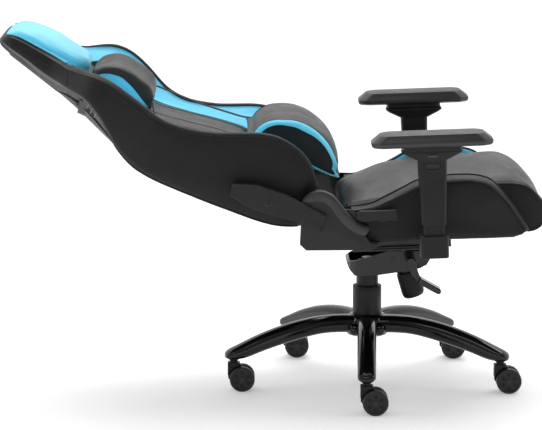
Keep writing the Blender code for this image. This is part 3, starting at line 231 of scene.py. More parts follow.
# The trim plastic painted twice as pale, for the hinge covers' rim band and the arm tabs: painted highlight.
RIM_HIGHLIGHT = moulded("plastic_rim_painted_highlight", (0.0300, 0.0300, 0.0302), 0.40, specular=0.40)
DARK_TRIM = moulded("plastic_trim_dark", (0.0065, 0.0065, 0.0068), 0.40, specular=0.3)
PAD = moulded("arm_pad_foam", (0.0185, 0.0180, 0.0180), 0.40, 1300.0, specular=0.50)
WHEEL = moulded("wheel_nylon", (0.0170, 0.0170, 0.0173), 0.42, specular=0.35)
GLOSS = glossy("lacquer_black", (0.0025, 0.0025, 0.0027), 0.13)
PAN_GLOSS = glossy("painted_steel_gloss", (0.0035, 0.0035, 0.0037), 0.20)
BLACK_STEEL = glossy("painted_steel", (0.006, 0.006, 0.0063), 0.30)
STEEL = steel("steel_bare", (0.50, 0.50, 0.51))

CAD_LOOKS = {
    BLACK_STEEL: ("gas_outer_tube", "tilt_shaft", "seat_plate", "seat_frame", "hinge_bracket_left",
                  "hinge_bracket_right",
                  "arm_bracket_left", "arm_bracket_right", "back_frame", "lever_shaft"),
    STEEL: ("gas_inner_cylinder", "gas_piston_rod", "thrust_bearing", "tension_bolt",
            "tension_spring", "recline_shaft", "recliner_left", "recliner_right"),
    PAN_GLOSS: ("tilt_housing",),
    GLOSS: ("height_lever",),
    TRIM: ("hinge_arm_left", "hinge_arm_right", "recline_lever"),
    PLASTIC: ("arm_base_left", "arm_base_right", "arm_sleeve_left", "arm_sleeve_right",
              "arm_slide_plate_left",
              "arm_slide_plate_right", "arm_carriage_left", "arm_carriage_right", "caster_hood_1",
              "caster_hood_2", "caster_hood_3", "caster_hood_4", "caster_hood_5"),
    DARK_TRIM: ("arm_button_left", "arm_button_right"),
}
BEVELLED = {"tilt_housing": 0.0012, "height_lever": 0.0012, "hinge_arm_left": 0.0008,
            "hinge_arm_right": 0.0008,
            "recline_lever": 0.0008, "arm_base_left": 0.0010, "arm_base_right": 0.0010,
            "arm_sleeve_left": 0.0012, "arm_sleeve_right": 0.0012, "arm_slide_plate_left": 0.0006,
            "arm_slide_plate_right": 0.0006, "arm_carriage_left": 0.0006, "arm_carriage_right": 0.0006,
            "caster_hood_1": 0.0008, "caster_hood_2": 0.0008,
            "caster_hood_3": 0.0008, "caster_hood_4": 0.0008, "caster_hood_5": 0.0008}


def dress_cad_nodes():
    for look, names in CAD_LOOKS.items():
        for name in names:
            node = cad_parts[name]
            for slot in node.material_slots:
                slot.material = look
    for name, width in BEVELLED.items():
        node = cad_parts[name]
        weld = node.modifiers.new("weld", "WELD")
        weld.merge_threshold = 0.00002
        bevel = node.modifiers.new("bevel", "BEVEL")
        bevel.width = width
        bevel.segments = 2
        bevel.limit_method = "ANGLE"
        bevel.angle_limit = math.radians(32)
        bevel.harden_normals = True


# ---------------------------------------------------------------- shape helpers

def smooth_value(table, t):
    """Value at t on a smooth curve through (t, value) pairs."""
    if t <= table[0][0]:
        return table[0][1]
    for k in range(len(table) - 1):
        (t0, v0), (t1, v1) = table[k], table[k + 1]
        if t <= t1:
            before = table[max(k - 1, 0)]
            after = table[min(k + 2, len(table) - 1)]
            slope0 = (v1 - before[1]) / (t1 - before[0])
            slope1 = (after[1] - v0) / (after[0] - t0)
            h = t1 - t0
            u = (t - t0) / h
            return ((2 * u**3 - 3 * u**2 + 1) * v0 + (u**3 - 2 * u**2 + u) * h * slope0
                    + (3 * u**2 - 2 * u**3) * v1 + (u**3 - u**2) * h * slope1)
    return table[-1][1]


def between(points, t, closed=True):
    """Point at parameter t (in points) on a smooth curve through the points."""
    count = len(points)
    k = math.floor(t)
    u = t - k
    if closed:
        p0, p1, p2, p3 = (points[(k + j) % count] for j in (-1, 0, 1, 2))
    else:
        k = min(max(k, 0), count - 2)
        u = t - k
        p0, p1, p2, p3 = (points[min(max(k + j, 0), count - 1)] for j in (-1, 0, 1, 2))
    return 0.5 * (2 * p1 + (p2 - p0) * u + (2 * p0 - 5 * p1 + 4 * p2 - p3) * u**2
                  + (3 * p1 - p0 - 3 * p2 + p3) * u**3)


def smooth_loop(points, per):
    points = [Vector(p) for p in points]
    return [between(points, k / per) for k in range(len(points) * per)]


def arc(centre, radius, start, end, steps):
    """Points on an arc, angles in degrees."""
    angles = [math.radians(start + (end - start) * k / steps) for k in range(steps + 1)]
    return [(centre[0] + radius * math.cos(a), centre[1] + radius * math.sin(a)) for a in angles]


def inset(points, distance):
    """A closed outline moved inwards (corners mitred)."""
    area = sum(a[0] * b[1] - b[0] * a[1] for a, b in zip(points, points[1:] + points[:1]))
    side = 1 if area > 0 else -1
    result = []
    for k, point in enumerate(points):
        here = Vector(point)
        into = (here - Vector(points[k - 1])).normalized()
        out = (Vector(points[(k + 1) % len(points)]) - here).normalized()
        normal_in = Vector((-into.y, into.x)) * side
        normal_out = Vector((-out.y, out.x)) * side
        middle = (normal_in + normal_out).normalized()
        result.append(tuple(here + middle * (distance / max(middle.dot(normal_in), 0.4))))
    return result


def ripple(point, scale=11.0, depth=0.0011):
    """A point moved a little, as soft covers wander, always the same way at the same place."""
    return point + noise.noise_vector(point * scale) * depth


class Mesh:
    """Faces gathered with a material each, then turned into one object."""

    def __init__(self, *looks):
        self.bm = bmesh.new()
        self.looks = looks

    def face(self, corners, look=0):
        made = self.bm.faces.new(corners)
        made.material_index = look
        return made

    def rings(self, rings, look=None, cap=(0, 0), closed=True):
        """Skin over rings of points.  look(row, column) gives a face's material; cap gives each end's."""
        rows = [[self.bm.verts.new(p) for p in ring] for ring in rings]
        count = len(rows[0])
        last = count if closed else count - 1
        for r in range(len(rows) - 1):
            for k in range(last):
                n = (k + 1) % count
                self.face((rows[r][k], rows[r][n], rows[r + 1][n], rows[r + 1][k]), look(r, k) if look else 0)
        if cap[0] is not None:
            self.face(list(reversed(rows[0])), cap[0])
        if cap[1] is not None:
            self.face(rows[-1], cap[1])
        return rows

    def tube(self, path, radius, sides=6, look=0):
        """Round cord along a path; its ends are closed."""
        path = [Vector(p) for p in path]
        rings = []
        normal = None
        for k, point in enumerate(path):
            tangent = (path[min(k + 1, len(path) - 1)] - path[max(k - 1, 0)]).normalized()
            if normal is None:
                normal = tangent.orthogonal().normalized()
            normal = (normal - tangent * normal.dot(tangent)).normalized()
            across = tangent.cross(normal)
            turns = [2 * math.pi * j / sides for j in range(sides)]
            rings.append([point + (normal * math.cos(a) + across * math.sin(a)) * radius for a in turns])
        self.rings(rings, lambda r, k: look, (look, look))

    def stitches(self, path, length=0.0042, gap=0.0026, radius=0.00055, look=0):
        """A row of thread stitches along a path."""
        path = [Vector(p) for p in path]
        travelled, start = 0.0, None
        target = 0.0
        for a, b in zip(path, path[1:]):
            step = (b - a).length
            while step > 0 and travelled + step >= target:
                here = a.lerp(b, (target - travelled) / step)
                if start is None:
                    start = here
                    target += length
                else:
                    self.tube([start, start.lerp(here, 0.5), here], radius, 4, look)
                    start = None
                    target += gap
            travelled += step

    def plate(self, outline, low, high, edge=0.0, look=0, ends=(True, True)):
        """An (x, z) outline given thickness along Y, chamfered round the chosen faces."""
        narrow = inset(outline, edge) if edge else outline
        rings = []
        if edge and ends[0]:
            rings.append([(x, low, z) for x, z in narrow])
        rings.append([(x, low + (edge if ends[0] else 0), z) for x, z in outline])
        rings.append([(x, high - (edge if ends[1] else 0), z) for x, z in outline])
        if edge and ends[1]:
            rings.append([(x, high, z) for x, z in narrow])
        self.rings(rings, lambda r, k: look, (look, look))

    def turned(self, profile, steps=48, centre=(0, 0), look=0, matrix=None):
        """A (radius, z) profile turned about Z."""
        rows = []
        made = []
        for radius, z in profile:
            turns = [2 * math.pi * k / steps for k in range(steps)] if radius > 0 else [0.0]
            row = [self.bm.verts.new((centre[0] + radius * math.cos(a), centre[1] + radius * math.sin(a), z))
                   for a in turns]
            rows.append(row)
            made += row
        for first, second in zip(rows, rows[1:]):
            for k in range(steps):
                n = (k + 1) % steps
                if len(first) == 1 and len(second) == 1:
                    break
                if len(first) == 1:
                    self.face((first[0], second[k], second[n]), look)
                elif len(second) == 1:
                    self.face((first[k], first[n], second[0]), look)
                else:
                    self.face((first[k], first[n], second[n], second[k]), look)
        if matrix is not None:
            bmesh.ops.transform(self.bm, matrix=matrix, verts=made)
        return made

    def build(self, name, body, matrix=None, sharp=40, replaces=(), slot=None):
        if matrix is not None:
            bmesh.ops.transform(self.bm, matrix=matrix, verts=self.bm.verts)
        bmesh.ops.recalc_face_normals(self.bm, faces=self.bm.faces)
        mesh = bpy.data.meshes.new(name)
        self.bm.to_mesh(mesh)
        self.bm.free()
        for look in self.looks:
            mesh.materials.append(look)
        mesh.shade_smooth()
        mesh.set_sharp_from_angle(angle=math.radians(sharp))
        obj = bpy.data.objects.new(name, mesh)
        bpy.context.scene.collection.objects.link(obj)
        if body:
            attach(obj, body)
        if replaces:
            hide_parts(*replaces)
        return obj


def subtract(obj, cutter):
    """Cuts cutter out of obj and applies the result."""
    modifier = obj.modifiers.new("cut", "BOOLEAN")
    modifier.operation = "DIFFERENCE"
    modifier.solver = "EXACT"
    modifier.object = cutter
    bpy.context.view_layer.update()
    evaluated = obj.evaluated_get(bpy.context.evaluated_depsgraph_get())
    result = bpy.data.meshes.new_from_object(evaluated)
    obj.modifiers.remove(modifier)
    obj.data = result
    bpy.data.objects.remove(cutter, do_unlink=True)


SIM_FRAMES = 16
EVENING_PASSES = 10
HEAD_SWELL = 0.004                  # furthest that the filling pushes each cover
LUMBAR_SWELL = 0.0045
NECK_SWELL = 0.004
SEAT_SWELL = 0.006
BOLSTER_SWELL = 0.003


def puff(obj, place, cap, pinned, pressure=4.0, shrink=-0.02):
    """Inflates a cover like a filled cushion.  pinned(co), in the place's frame, marks what seams hold."""
    rest = [v.co.copy() for v in obj.data.vertices]
    scene = bpy.context.scene
    modifier = obj.modifiers.new("cloth", "CLOTH")
    cloth = modifier.settings
    cloth.quality = 5
    cloth.mass = 0.25
    cloth.tension_stiffness = 25
    cloth.compression_stiffness = 25
    cloth.shear_stiffness = 12
    cloth.bending_stiffness = 1.5
    cloth.use_pressure = True
    cloth.uniform_pressure_force = pressure
    cloth.shrink_min = shrink
    cloth.effector_weights.gravity = 0
    back_to = place.inverted()
    held = [v.index for v in obj.data.vertices if pinned(back_to @ v.co)]
    group = obj.vertex_groups.new(name="held")
    group.add(held, 1.0, "REPLACE")
    cloth.vertex_group_mass = "held"
    modifier.point_cache.frame_start = 1
    modifier.point_cache.frame_end = SIM_FRAMES
    for number in range(1, SIM_FRAMES + 1):
        scene.frame_set(number)
    evaluated = obj.evaluated_get(bpy.context.evaluated_depsgraph_get())
    swollen = [v.co.copy() for v in evaluated.data.vertices]
    obj.modifiers.remove(modifier)
    obj.vertex_groups.clear()
    moves = []
    for before, after in zip(rest, swollen):
        move = after - before
        moves.append(move * (cap / move.length) if move.length > cap else move)
    fixed = set(held)
    around = [[] for _ in rest]
    for edge in obj.data.edges:
        a, b = edge.vertices
        around[a].append(b)
        around[b].append(a)
    for _ in range(EVENING_PASSES):     # the creases of a coarse cloth are evened out
        moves = [moves[k] if k in fixed or not around[k] else
                 (moves[k] + sum((moves[n] for n in around[k]), Vector())) / (len(around[k]) + 1)
                 for k in range(len(moves))]
    for vertex, before, move in zip(obj.data.vertices, rest, moves):
        vertex.co = before + move
    obj.data.update()
    scene.frame_set(1)


# ---------------------------------------------------------------- camera, floor and light

def stage():
    camera = bpy.data.objects.new("camera", bpy.data.cameras.new("camera"))
    bpy.context.scene.collection.objects.link(camera)
    camera.location = (-0.0783, -6.8128, 1.6029)
    camera.rotation_euler = (math.radians(80.051), 0, math.radians(-0.627))
    camera.data.sensor_width = 36.0
    camera.data.lens = 191.9
    camera.data.clip_end = 200
    bpy.context.scene.camera = camera

    ground = Nodes("floor_pale", (0.86, 0.86, 0.865), 0.65, specular=0.10)
    ground.mottle(0.8, 0.004, 0.62, 0.68)
    ground.shader.inputs["Emission Color"].default_value = (1, 1, 1, 1)
    ground.shader.inputs["Emission Strength"].default_value = 0.30
    mesh = Mesh(ground.material)
    mesh.face([mesh.bm.verts.new(p) for p in ((-90, -90, 0), (90, -90, 0), (90, 90, 0), (-90, 90, 0))])
    floor = mesh.build("studio_floor", None)

    def lamp(name, kind, place, aim, energy):
        data = bpy.data.lights.new(name, kind)
        data.energy = energy
        light = bpy.data.objects.new(name, data)
        bpy.context.scene.collection.objects.link(light)
        light.location = place
        light.rotation_euler = (Vector(aim) - Vector(place)).to_track_quat("-Z", "Y").to_euler()
        return data

    lamp("sun_soft", "SUN", (0.3, 1.4, 4.0), (0, 0, 0), 1.1).angle = math.radians(50)
    for name, place, aim, size, energy in (
            ("softbox_top", (0.1, 1.3, 2.6), (0.1, 0.0, 0.5), (3.4, 0.5), 22),
            ("softbox_front", (-0.6, -3.6, 2.9), (0.0, 0.0, 0.6), (2.4, 0.7), 16),
            ("strip_left", (-2.6, -0.4, 1.5), (0.0, 0.0, 0.3), (0.35, 1.8), 7),
            ("strip_right", (2.8, -0.4, 1.5), (0.2, 0.0, 0.3), (0.35, 1.8), 7)):
        data = lamp(name, "AREA", place, aim, energy)
        data.shape = "RECTANGLE"
        data.size, data.size_y = size

    world = bpy.data.worlds.new("studio")
    bpy.context.scene.world = world
    world.use_nodes = True
    tree = world.node_tree
    where = tree.nodes.new("ShaderNodeTexCoord")
    split = tree.nodes.new("ShaderNodeSeparateXYZ")
    ramp = tree.nodes.new("ShaderNodeMapRange")
    for key, number in (("From Min", -0.35), ("From Max", 0.35), ("To Min", 0.30), ("To Max", 0.95)):
        ramp.inputs[key].default_value = number
    tree.links.new(where.outputs["Generated"], split.inputs["Vector"])
    tree.links.new(split.outputs["Y"], ramp.inputs["Value"])
    tree.links.new(ramp.outputs["Result"], tree.nodes["Background"].inputs["Color"])
    tree.nodes["Background"].inputs["Strength"].default_value = 1.0
    bpy.context.scene.view_settings.view_transform = "Standard"


# ---------------------------------------------------------------- back

BACK_LOW = 0.014
BACK_HIGH = 0.840
HALF_WIDTH = [(0.014, 0.232), (0.045, 0.254), (0.110, 0.2620), (0.250, 0.2625), (0.400, 0.2680),
              (0.470, 0.284), (0.540, 0.296), (0.595, 0.282), (0.650, 0.224), (0.690, 0.172),
              (0.740, 0.150), (0.800, 0.143), (0.830, 0.122), (0.842, 0.095)]
WING_FRONT = [(0.014, 0.044), (0.035, 0.068), (0.060, 0.097), (0.100, 0.118), (0.155, 0.126),
              (0.200, 0.117), (0.250, 0.096), (0.300, 0.075), (0.360, 0.060), (0.420, 0.057),
              (0.480, 0.073), (0.540, 0.089), (0.580, 0.093), (0.620, 0.086), (0.660, 0.077),
              (0.700, 0.076), (0.750, 0.079), (0.790, 0.082), (0.820, 0.078), (0.842, 0.068)]
WING_REAR = [(0.014, -0.046), (0.090, -0.070), (0.200, -0.079), (0.320, -0.084), (0.420, -0.079),
             (0.480, -0.054), (0.530, -0.016), (0.560, 0.005), (0.600, 0.022), (0.640, 0.022),
             (0.700, 0.020), (0.780, 0.038), (0.842, 0.050)]
PANEL_FRONT = [(0.014, 0.030), (0.050, 0.050), (0.120, 0.060), (0.200, 0.066), (0.260, 0.063),
               (0.300, 0.058), (0.355, 0.049), (0.430, 0.038), (0.520, 0.044), (0.600, 0.056),
               (0.690, 0.066), (0.780, 0.074), (0.842, 0.066)]
PANEL_REAR = [(0.014, -0.050), (0.090, -0.070), (0.200, -0.084), (0.350, -0.092), (0.450, -0.084),
              (0.510, -0.062), (0.557, -0.044), (0.600, -0.028), (0.650, -0.014), (0.740, 0.010),
              (0.820, 0.031), (0.842, 0.044)]
PANEL_EDGE = [(0.014, 0.54), (0.200, 0.54), (0.285, 0.55), (0.350, 0.54), (0.430, 0.57), (0.520, 0.55),
              (0.600, 0.50), (0.842, 0.50)]     # centre panel's half width, as a share of the back's
PANEL_SAG = [(0.0, 0.0), (0.140, 0.001), (0.200, 0.004), (0.285, 0.006), (0.350, 0.0065), (0.430, 0.005),
             (0.520, 0.002), (0.600, 0.0), (0.85, 0.0)]
REAR_HOLLOW = [(0.0, 0.0), (0.44, 0.0), (0.50, 0.010), (0.58, 0.016), (0.63, 0.012), (0.67, 0.0), (0.85, 0.0)]
# The left wing's shoulder stands further forward than the right one; all zeros make them alike.
FAR_RISE = [(0.0, 0.0), (0.360, 0.0), (0.400, 0.005), (0.450, 0.013), (0.500, 0.019), (0.550, 0.018),
            (0.600, 0.010), (0.650, 0.0), (0.85, 0.0)]
SLOT_CENTRE = (0.152, 0.592)
SLOT_SIZE = (0.084, 0.030)
SLOT_LEAN = math.radians(-22)
CREST = 5.0                         # section parameter of the wing's crest
REAR_EDGE = 9.2                     # and of its rear edge


def back_section(s):
    """Control points (front, across) of the back at height s, from the middle of the front round."""
    half = smooth_value(HALF_WIDTH, s)
    front, rear = smooth_value(WING_FRONT, s), smooth_value(WING_REAR, s)
    panel, spine = smooth_value(PANEL_FRONT, s), smooth_value(PANEL_REAR, s)
    edge = half * smooth_value(PANEL_EDGE, s)
    depth = front - rear
    head = min(max((s - 0.60) / 0.07, 0.0), 1.0)
    slope = max(half * 0.76, edge + 0.02)
    dish = (1 - head) * smooth_value([(0.0, 0.0), (0.20, 0.002), (0.34, 0.012), (0.44, 0.012), (0.54, 0.008),
                                      (0.60, 0.0)], s)
    roll = 0.005 + 0.007 * (1 - head)
    hollow = smooth_value(REAR_HOLLOW, s)
    return [(panel + 0.002, 0.0), (panel + 0.001, edge * 0.60),
            (panel + 0.0015 - smooth_value(PANEL_SAG, s), edge),
            (panel + (front - panel) * 0.45 - dish, slope), (front - roll, half - 0.036 - 0.004 * head),
            (front, half - 0.020), (front - 0.007, half - 0.006), (front - depth * 0.22, half),
            (rear + depth * 0.22, half), (rear + 0.006, half - 0.012), (rear - 0.002 + hollow, half - 0.042),
            (spine + (rear - spine) * 0.35 + hollow, half * 0.58), (spine, half * 0.28), (spine, 0.0)]


def back_loop(s):
    half = [Vector((d, y)) for d, y in back_section(s)]
    return half + [Vector((p.x, -p.y)) for p in reversed(half[1:-1])]


def end_slope(s, depth):
    """How far the head's end leans back towards its front face."""
    return s - max(depth - 0.040, 0.0) * 0.42 * max((s - 0.79) / 0.052, 0.0) ** 1.5


def far_risen(point, s):
    """A point (front, across) of the cover, raised where it lies on the left wing's shoulder."""
    if point.y <= 0:
        return point
    rear, front = smooth_value(WING_REAR, s), smooth_value(WING_FRONT, s)
    half = smooth_value(HALF_WIDTH, s)
    edge = half * smooth_value(PANEL_EDGE, s)
    share = min(max((point.y - edge) / (half * 0.80 - edge), 0.0), 1.0)
    share *= min(max((point.x - rear) / (front - rear), 0.0), 1.0)
    return Vector((point.x + smooth_value(FAR_RISE, s) * share, point.y))


def back_point(s, t, side=1, lift=0.0):
    """Point of the back's cover at height s and section parameter t, raised by lift."""
    loop = back_loop(s)
    here = between(loop, t)
    if lift:
        along = (between(loop, t + 0.05) - between(loop, t - 0.05)).normalized()
        here = here + Vector((along.y, -along.x)) * lift
    here = far_risen(Vector((here.x, here.y * side)), s)
    return ripple(Vector((here.x, here.y, end_slope(s, here.x))))


def beside(s, t, distance):
    """Section parameter that lies a distance further round from t."""
    loop = back_loop(s)
    step = 0.02 if distance > 0 else -0.02
    left = abs(distance)
    here = between(loop, t)
    while left > 0:
        ahead = between(loop, t + step)
        left -= (ahead - here).length
        here = ahead
        t += step
    return t


def front_edge(s):
    """Where the black outer cover ends on the front: past the wing's crest, and on the head's edge."""
    return smooth_value([(0.0, 4.55), (0.56, 4.55), (0.64, 4.7), (0.69, 5.15), (0.85, 5.3)], s)


def back_look(s, t):
    """Material index of the cover: 0 black, 1 blue, 2 panel, 3 head blue."""
    t = t if t <= 13 else 26 - t
    if t > front_edge(s) or s < BACK_LOW + 0.012 or s > BACK_HIGH - 0.006:
        return 0
    if s > 0.640:
        return 3
    return 2 if t < 2.0 else 1


def spaced(low, high, count):
    return [low + (high - low) * k / (count - 1) for k in range(count)]


def back_cover():
    per = 5
    stations = [(BACK_LOW + 0.004 + 0.0015 * k, 0.010 * (1 - k / 4) ** 2) for k in range(5)]
    stations += [(s, 0.0) for s in spaced(BACK_LOW + 0.018, BACK_HIGH - 0.020, 102)]
    stations += [(BACK_HIGH - 0.016 * (1 - math.sin(a)) - 0.001, 0.017 * (1 - math.cos(a)))
                 for a in (math.radians(15 * k) for k in range(1, 7))]
    mesh = Mesh(BLACK, BLUE, PANEL, PALE_BLUE)
    skins = []
    for s, drop in stations:
        loop = back_loop(s)
        middle = sum(loop, Vector((0, 0))) / len(loop)
        ring = []
        for k in range(26 * per):
            point = between(loop, k / per)
            toward = middle - point
            if drop:
                point = point + toward.normalized() * min(drop, toward.length * 0.8)
            point = far_risen(point, s)
            ring.append(ripple(Vector((point.x, point.y, end_slope(s, point.x)))))
        skins.append(ring)
    levels = [s for s, _ in stations]

    def look(r, k):
        return back_look((levels[r] + levels[r + 1]) / 2, (k + 0.5) / per)

    mesh.rings(skins, look, (0, 0))
    cover = mesh.build("back_cover", "back", BACK, 50, ("back_cushion",), "back_cushion")
    for side, _ in SIDES:
        cutter = Mesh(PIPING)
        outline = slot_outline(1.0)
        cutter.rings([[Vector((d, side * y, z)) for y, z in outline] for d in (-0.2, 0.2)])
        tool = cutter.build("cutter", None, BACK)
        subtract(cover, tool)
    return cover


def slot_outline(grow):
    """The shoulder slot's outline (across, up) on the left side."""
    half_long, half_wide = SLOT_SIZE[0] / 2 * grow, SLOT_SIZE[1] / 2 * grow
    radius = half_wide * 0.9
    points = []
    for sign_x, sign_y, start in ((1, 1, 0), (-1, 1, 90), (-1, -1, 180), (1, -1, 270)):
        centre = (sign_x * (half_long - radius), sign_y * (half_wide - radius))
        points += arc(centre, radius, start, start + 90, 5)
    turned = []
    c, s = math.cos(SLOT_LEAN), math.sin(SLOT_LEAN)
    for x, y in points:
        turned.append((SLOT_CENTRE[0] + x * c - y * s, SLOT_CENTRE[1] + x * s + y * c))
    return turned


def profile_depths(s, rear=False):
    """(distance from the middle, depth) along the front or the rear of the back at height s."""
    loop = back_loop(s)
    span = (13 - 0.1 * k for k in range(41)) if rear else (0.1 * k for k in range(56))
    return [(p.y, p.x) for p in (between(loop, t) for t in span)]


def surface_depth(y, s, rear=False, depths=None):
    """How far forward the cover lies at a place seen square on, front or rear side."""
    depths = depths or profile_depths(s, rear)
    y = abs(y)
    for (y0, d0), (y1, d1) in zip(depths, depths[1:]):
        if y <= y1:
            return d0 + (d1 - d0) * (y - y0) / max(y1 - y0, 1e-6)
    return depths[-1][1]


def back_trim():
    """Piping, painted seam shadows and stitching of the back, and the slots' collars."""
    piping = Mesh(PIPING)
    # Dark cords along the seams: painted seam shadow.
    seams = Mesh(SEAM_SHADOW)
    thread = Mesh(THREAD)
    wing = spaced(0.030, 0.655, 90)
    for side, _ in SIDES:
        piping.tube([back_point(s, front_edge(s), side, 0.0004) for s in wing], 0.0021, 8)
        piping.tube([back_point(s, REAR_EDGE, side, 0.0004) for s in spaced(0.030, 0.640, 80)], 0.0020, 8)
        seams.tube([back_point(s, beside(s, CREST, 0.019), side, 0.0) for s in wing], 0.0010)
        for distance in (0.0225, 0.0275):
            thread.stitches([back_point(s, beside(s, CREST, distance), side, 0.0002) for s in wing])
        thread.stitches([back_point(s, beside(s, front_edge(s), 0.0045), side, 0.0002) for s in wing])
        edge = spaced(0.215, 0.640, 60)
        seams.tube([back_point(s, 2.0, side, 0.0) for s in edge], 0.0008)
        seams.tube([back_point(s, 0.83, side, 0.0) for s in spaced(0.050, 0.600, 70)], 0.0009)
        head = spaced(0.690, 0.828, 30)
        for distance in (0.006, 0.034):
            seams.tube([back_point(s, beside(s, front_edge(s), distance), side, 0.0002) for s in head],
                       0.0007)
        around = [beside(0.668, front_edge(0.668), 0.058 * k / 24) for k in range(25)]
        seams.tube([back_point(0.668 - 0.020 * k / 24, t, side, 0.0002) for k, t in enumerate(around)],
                   0.0008)
        outline = slot_outline(1.06)
        collar = [Vector((surface_depth(y, s) + 0.0004, side * y, s)) for y, s in outline]
        collar = [ripple(p) for p in collar]
        piping.tube(collar + collar[:1], 0.0022, 6)
    rear_path = [back_point(s, 11.35, 1, 0.0004) for s in spaced(0.050, 0.800, 90)]
    for side, _ in SIDES:
        path = [Vector((p.x, p.y * side, p.z)) for p in rear_path]
        piping.tube(path, 0.0016, 6)
        thread.stitches([back_point(s, 11.20, side, 0.0002) for s in spaced(0.050, 0.800, 90)])
    piping.build("back_piping", "back", BACK)
    seams.build("back_seam_shadows", "back", BACK)
    thread.build("back_stitching", "back", BACK)


HEAD_HALF = [(0.6150, 0.020), (0.6170, 0.040), (0.6230, 0.060), (0.6370, 0.080), (0.6600, 0.100),
             (0.6900, 0.118), (0.7200, 0.127), (0.7600, 0.1275), (0.7950, 0.125), (0.8150, 0.116),
             (0.8270, 0.098), (0.8320, 0.074)]
HEAD_THICK = [(0.6150, 0.0300), (0.7000, 0.0310), (0.7450, 0.0265), (0.7900, 0.0210), (0.8320, 0.0160)]
HEAD_PROFILE = [(-1.0, -0.08), (-0.992, 0.16), (-0.94, 0.50), (-0.85, 0.80), (-0.75, 0.945), (-0.52, 0.990),
                (-0.26, 1.0), (0.0, 1.0), (0.26, 1.0), (0.52, 0.990), (0.75, 0.945), (0.85, 0.80),
                (0.94, 0.50), (0.992, 0.16), (1.0, -0.08)]


def head_cushion():
    """Flat-topped pad with sloped facets on the front of the head, its lower end a rounded lobe."""
    keys = [Vector(p) for p in HEAD_HALF]
    profile = [Vector(p) for p in HEAD_PROFILE]
    rings = []
    steps = 48
    for k in range(steps + 1):
        s, half = between(keys, k / steps * (len(keys) - 1), False)
        depths = profile_depths(s)
        low_end = min((s - HEAD_HALF[0][0]) / 0.020, 1.0)
        high_end = min((HEAD_HALF[-1][0] - s) / 0.036, 1.0)
        thick = smooth_value(HEAD_THICK, s)
        thick *= math.sqrt(max(1 - (1 - low_end) ** 2, 0.02)) * math.sqrt(max(1 - (1 - high_end) ** 2, 0.02))
        ring = []
        for j in range(57):
            across, rise = between(profile, j / 4, False)
            depth = surface_depth(half * across, s, depths=depths) - 0.0005 + thick * rise
            ring.append(ripple(Vector((depth, half * across, end_slope(s, depth))), 14.0, 0.0010))
        rings.append(ring)
    mesh = Mesh(PALE_BLUE, BLUE)
    mesh.rings(rings, lambda r, k: 1 if not 10 <= k < 46 else 0)
    pad = mesh.build("head_cushion", "back", BACK, 60, ("head_pad",), "head_pad")
    puff(pad, BACK, HEAD_SWELL, lambda co: co.x < surface_depth(co.y, co.z) + 0.006)
    welt = Mesh(BLUE, SEAM_SHADOW)
    for side in (-1, 1):
        edge = spaced(0.668, 0.828, 50)
        welt.tube([back_point(s, front_edge(s), side, 0.0006) for s in edge], 0.0023, 8)
        # A dark cord beside the welt: painted seam shadow.
        welt.tube([back_point(s, beside(s, front_edge(s), -0.0065), side, 0.0) for s in edge], 0.0007, 6, 1)
    welt.build("head_cushion_welt", "back", BACK)


LUMBAR_OUTLINE = [(0.0785, -0.004), (0.092, -0.0075), (0.110, -0.002), (0.138, 0.028), (0.155, 0.060),
                  (0.163, 0.095), (0.162, 0.126), (0.153, 0.152), (0.140, 0.178), (0.120, 0.197),
                  (0.096, 0.205), (0.0790, 0.200)]
LUMBAR_HALF = 0.158
BAND = 0.0165                       # blue edge of the lumbar cushion, along its face and round its end
NECK_OUTLINE = [(0.0470, 0.452), (0.060, 0.447), (0.080, 0.452), (0.096, 0.468), (0.104, 0.498),
                (0.110, 0.530), (0.109, 0.560), (0.100, 0.584), (0.084, 0.600), (0.068, 0.605),
                (0.0600, 0.596), (0.0535, 0.525)]
NECK_HALF = 0.132
NECK_SEAM = [(0.440, 0.050), (0.465, 0.061), (0.500, 0.078), (0.535, 0.090), (0.560, 0.090), (0.585, 0.083),
             (0.610, 0.066)]        # how far forward the blue of its ends reaches, by height


def outline_rings(outline, stations, per=6):
    """Rings of an outline (front, up) across the back.  A station is (y, inset, forward, scale)."""
    loop = smooth_loop(outline, per)
    centre = sum(loop, Vector((0, 0))) / len(loop)
    low = min(p.x for p in loop)
    rings = []
    for y, drop, forward, scale in stations:
        ring = []
        for p in loop:
            toward = centre - p
            q = p + toward.normalized() * min(drop, toward.length * 0.8)
            q = centre + (q - centre) * scale
            share = min(max(q.x - low, 0) / 0.05, 1.0)
            q = Vector((max(q.x + forward * share, low), q.y))
            ring.append(Vector((q.x, y, q.y)))
        rings.append(ring)
    return rings


def end_stations(half, radius, steps, dome, rows):
    """(y, inset, scale) from the middle of an end face out round its edge, on the +Y side."""
    result = []
    for k in range(rows):
        share = 0.10 + 0.90 * k / rows
        result.append((half + dome * (1 - share**2), radius, share))
    for k in range(steps + 1):
        turn = math.radians(90 * k / steps)
        result.append((half - radius * (1 - math.cos(turn)), radius * (1 - math.sin(turn)), 1.0))
    return result


def mirrored_stations(right):
    """Stations for the -Y half, and their mirror images after them."""
    return right + [(-y, drop, forward, scale) for y, drop, forward, scale in reversed(right[:-1])]


def lumbar_forward(y):
    return 0.0065 * (1 - (y / LUMBAR_HALF) ** 2)


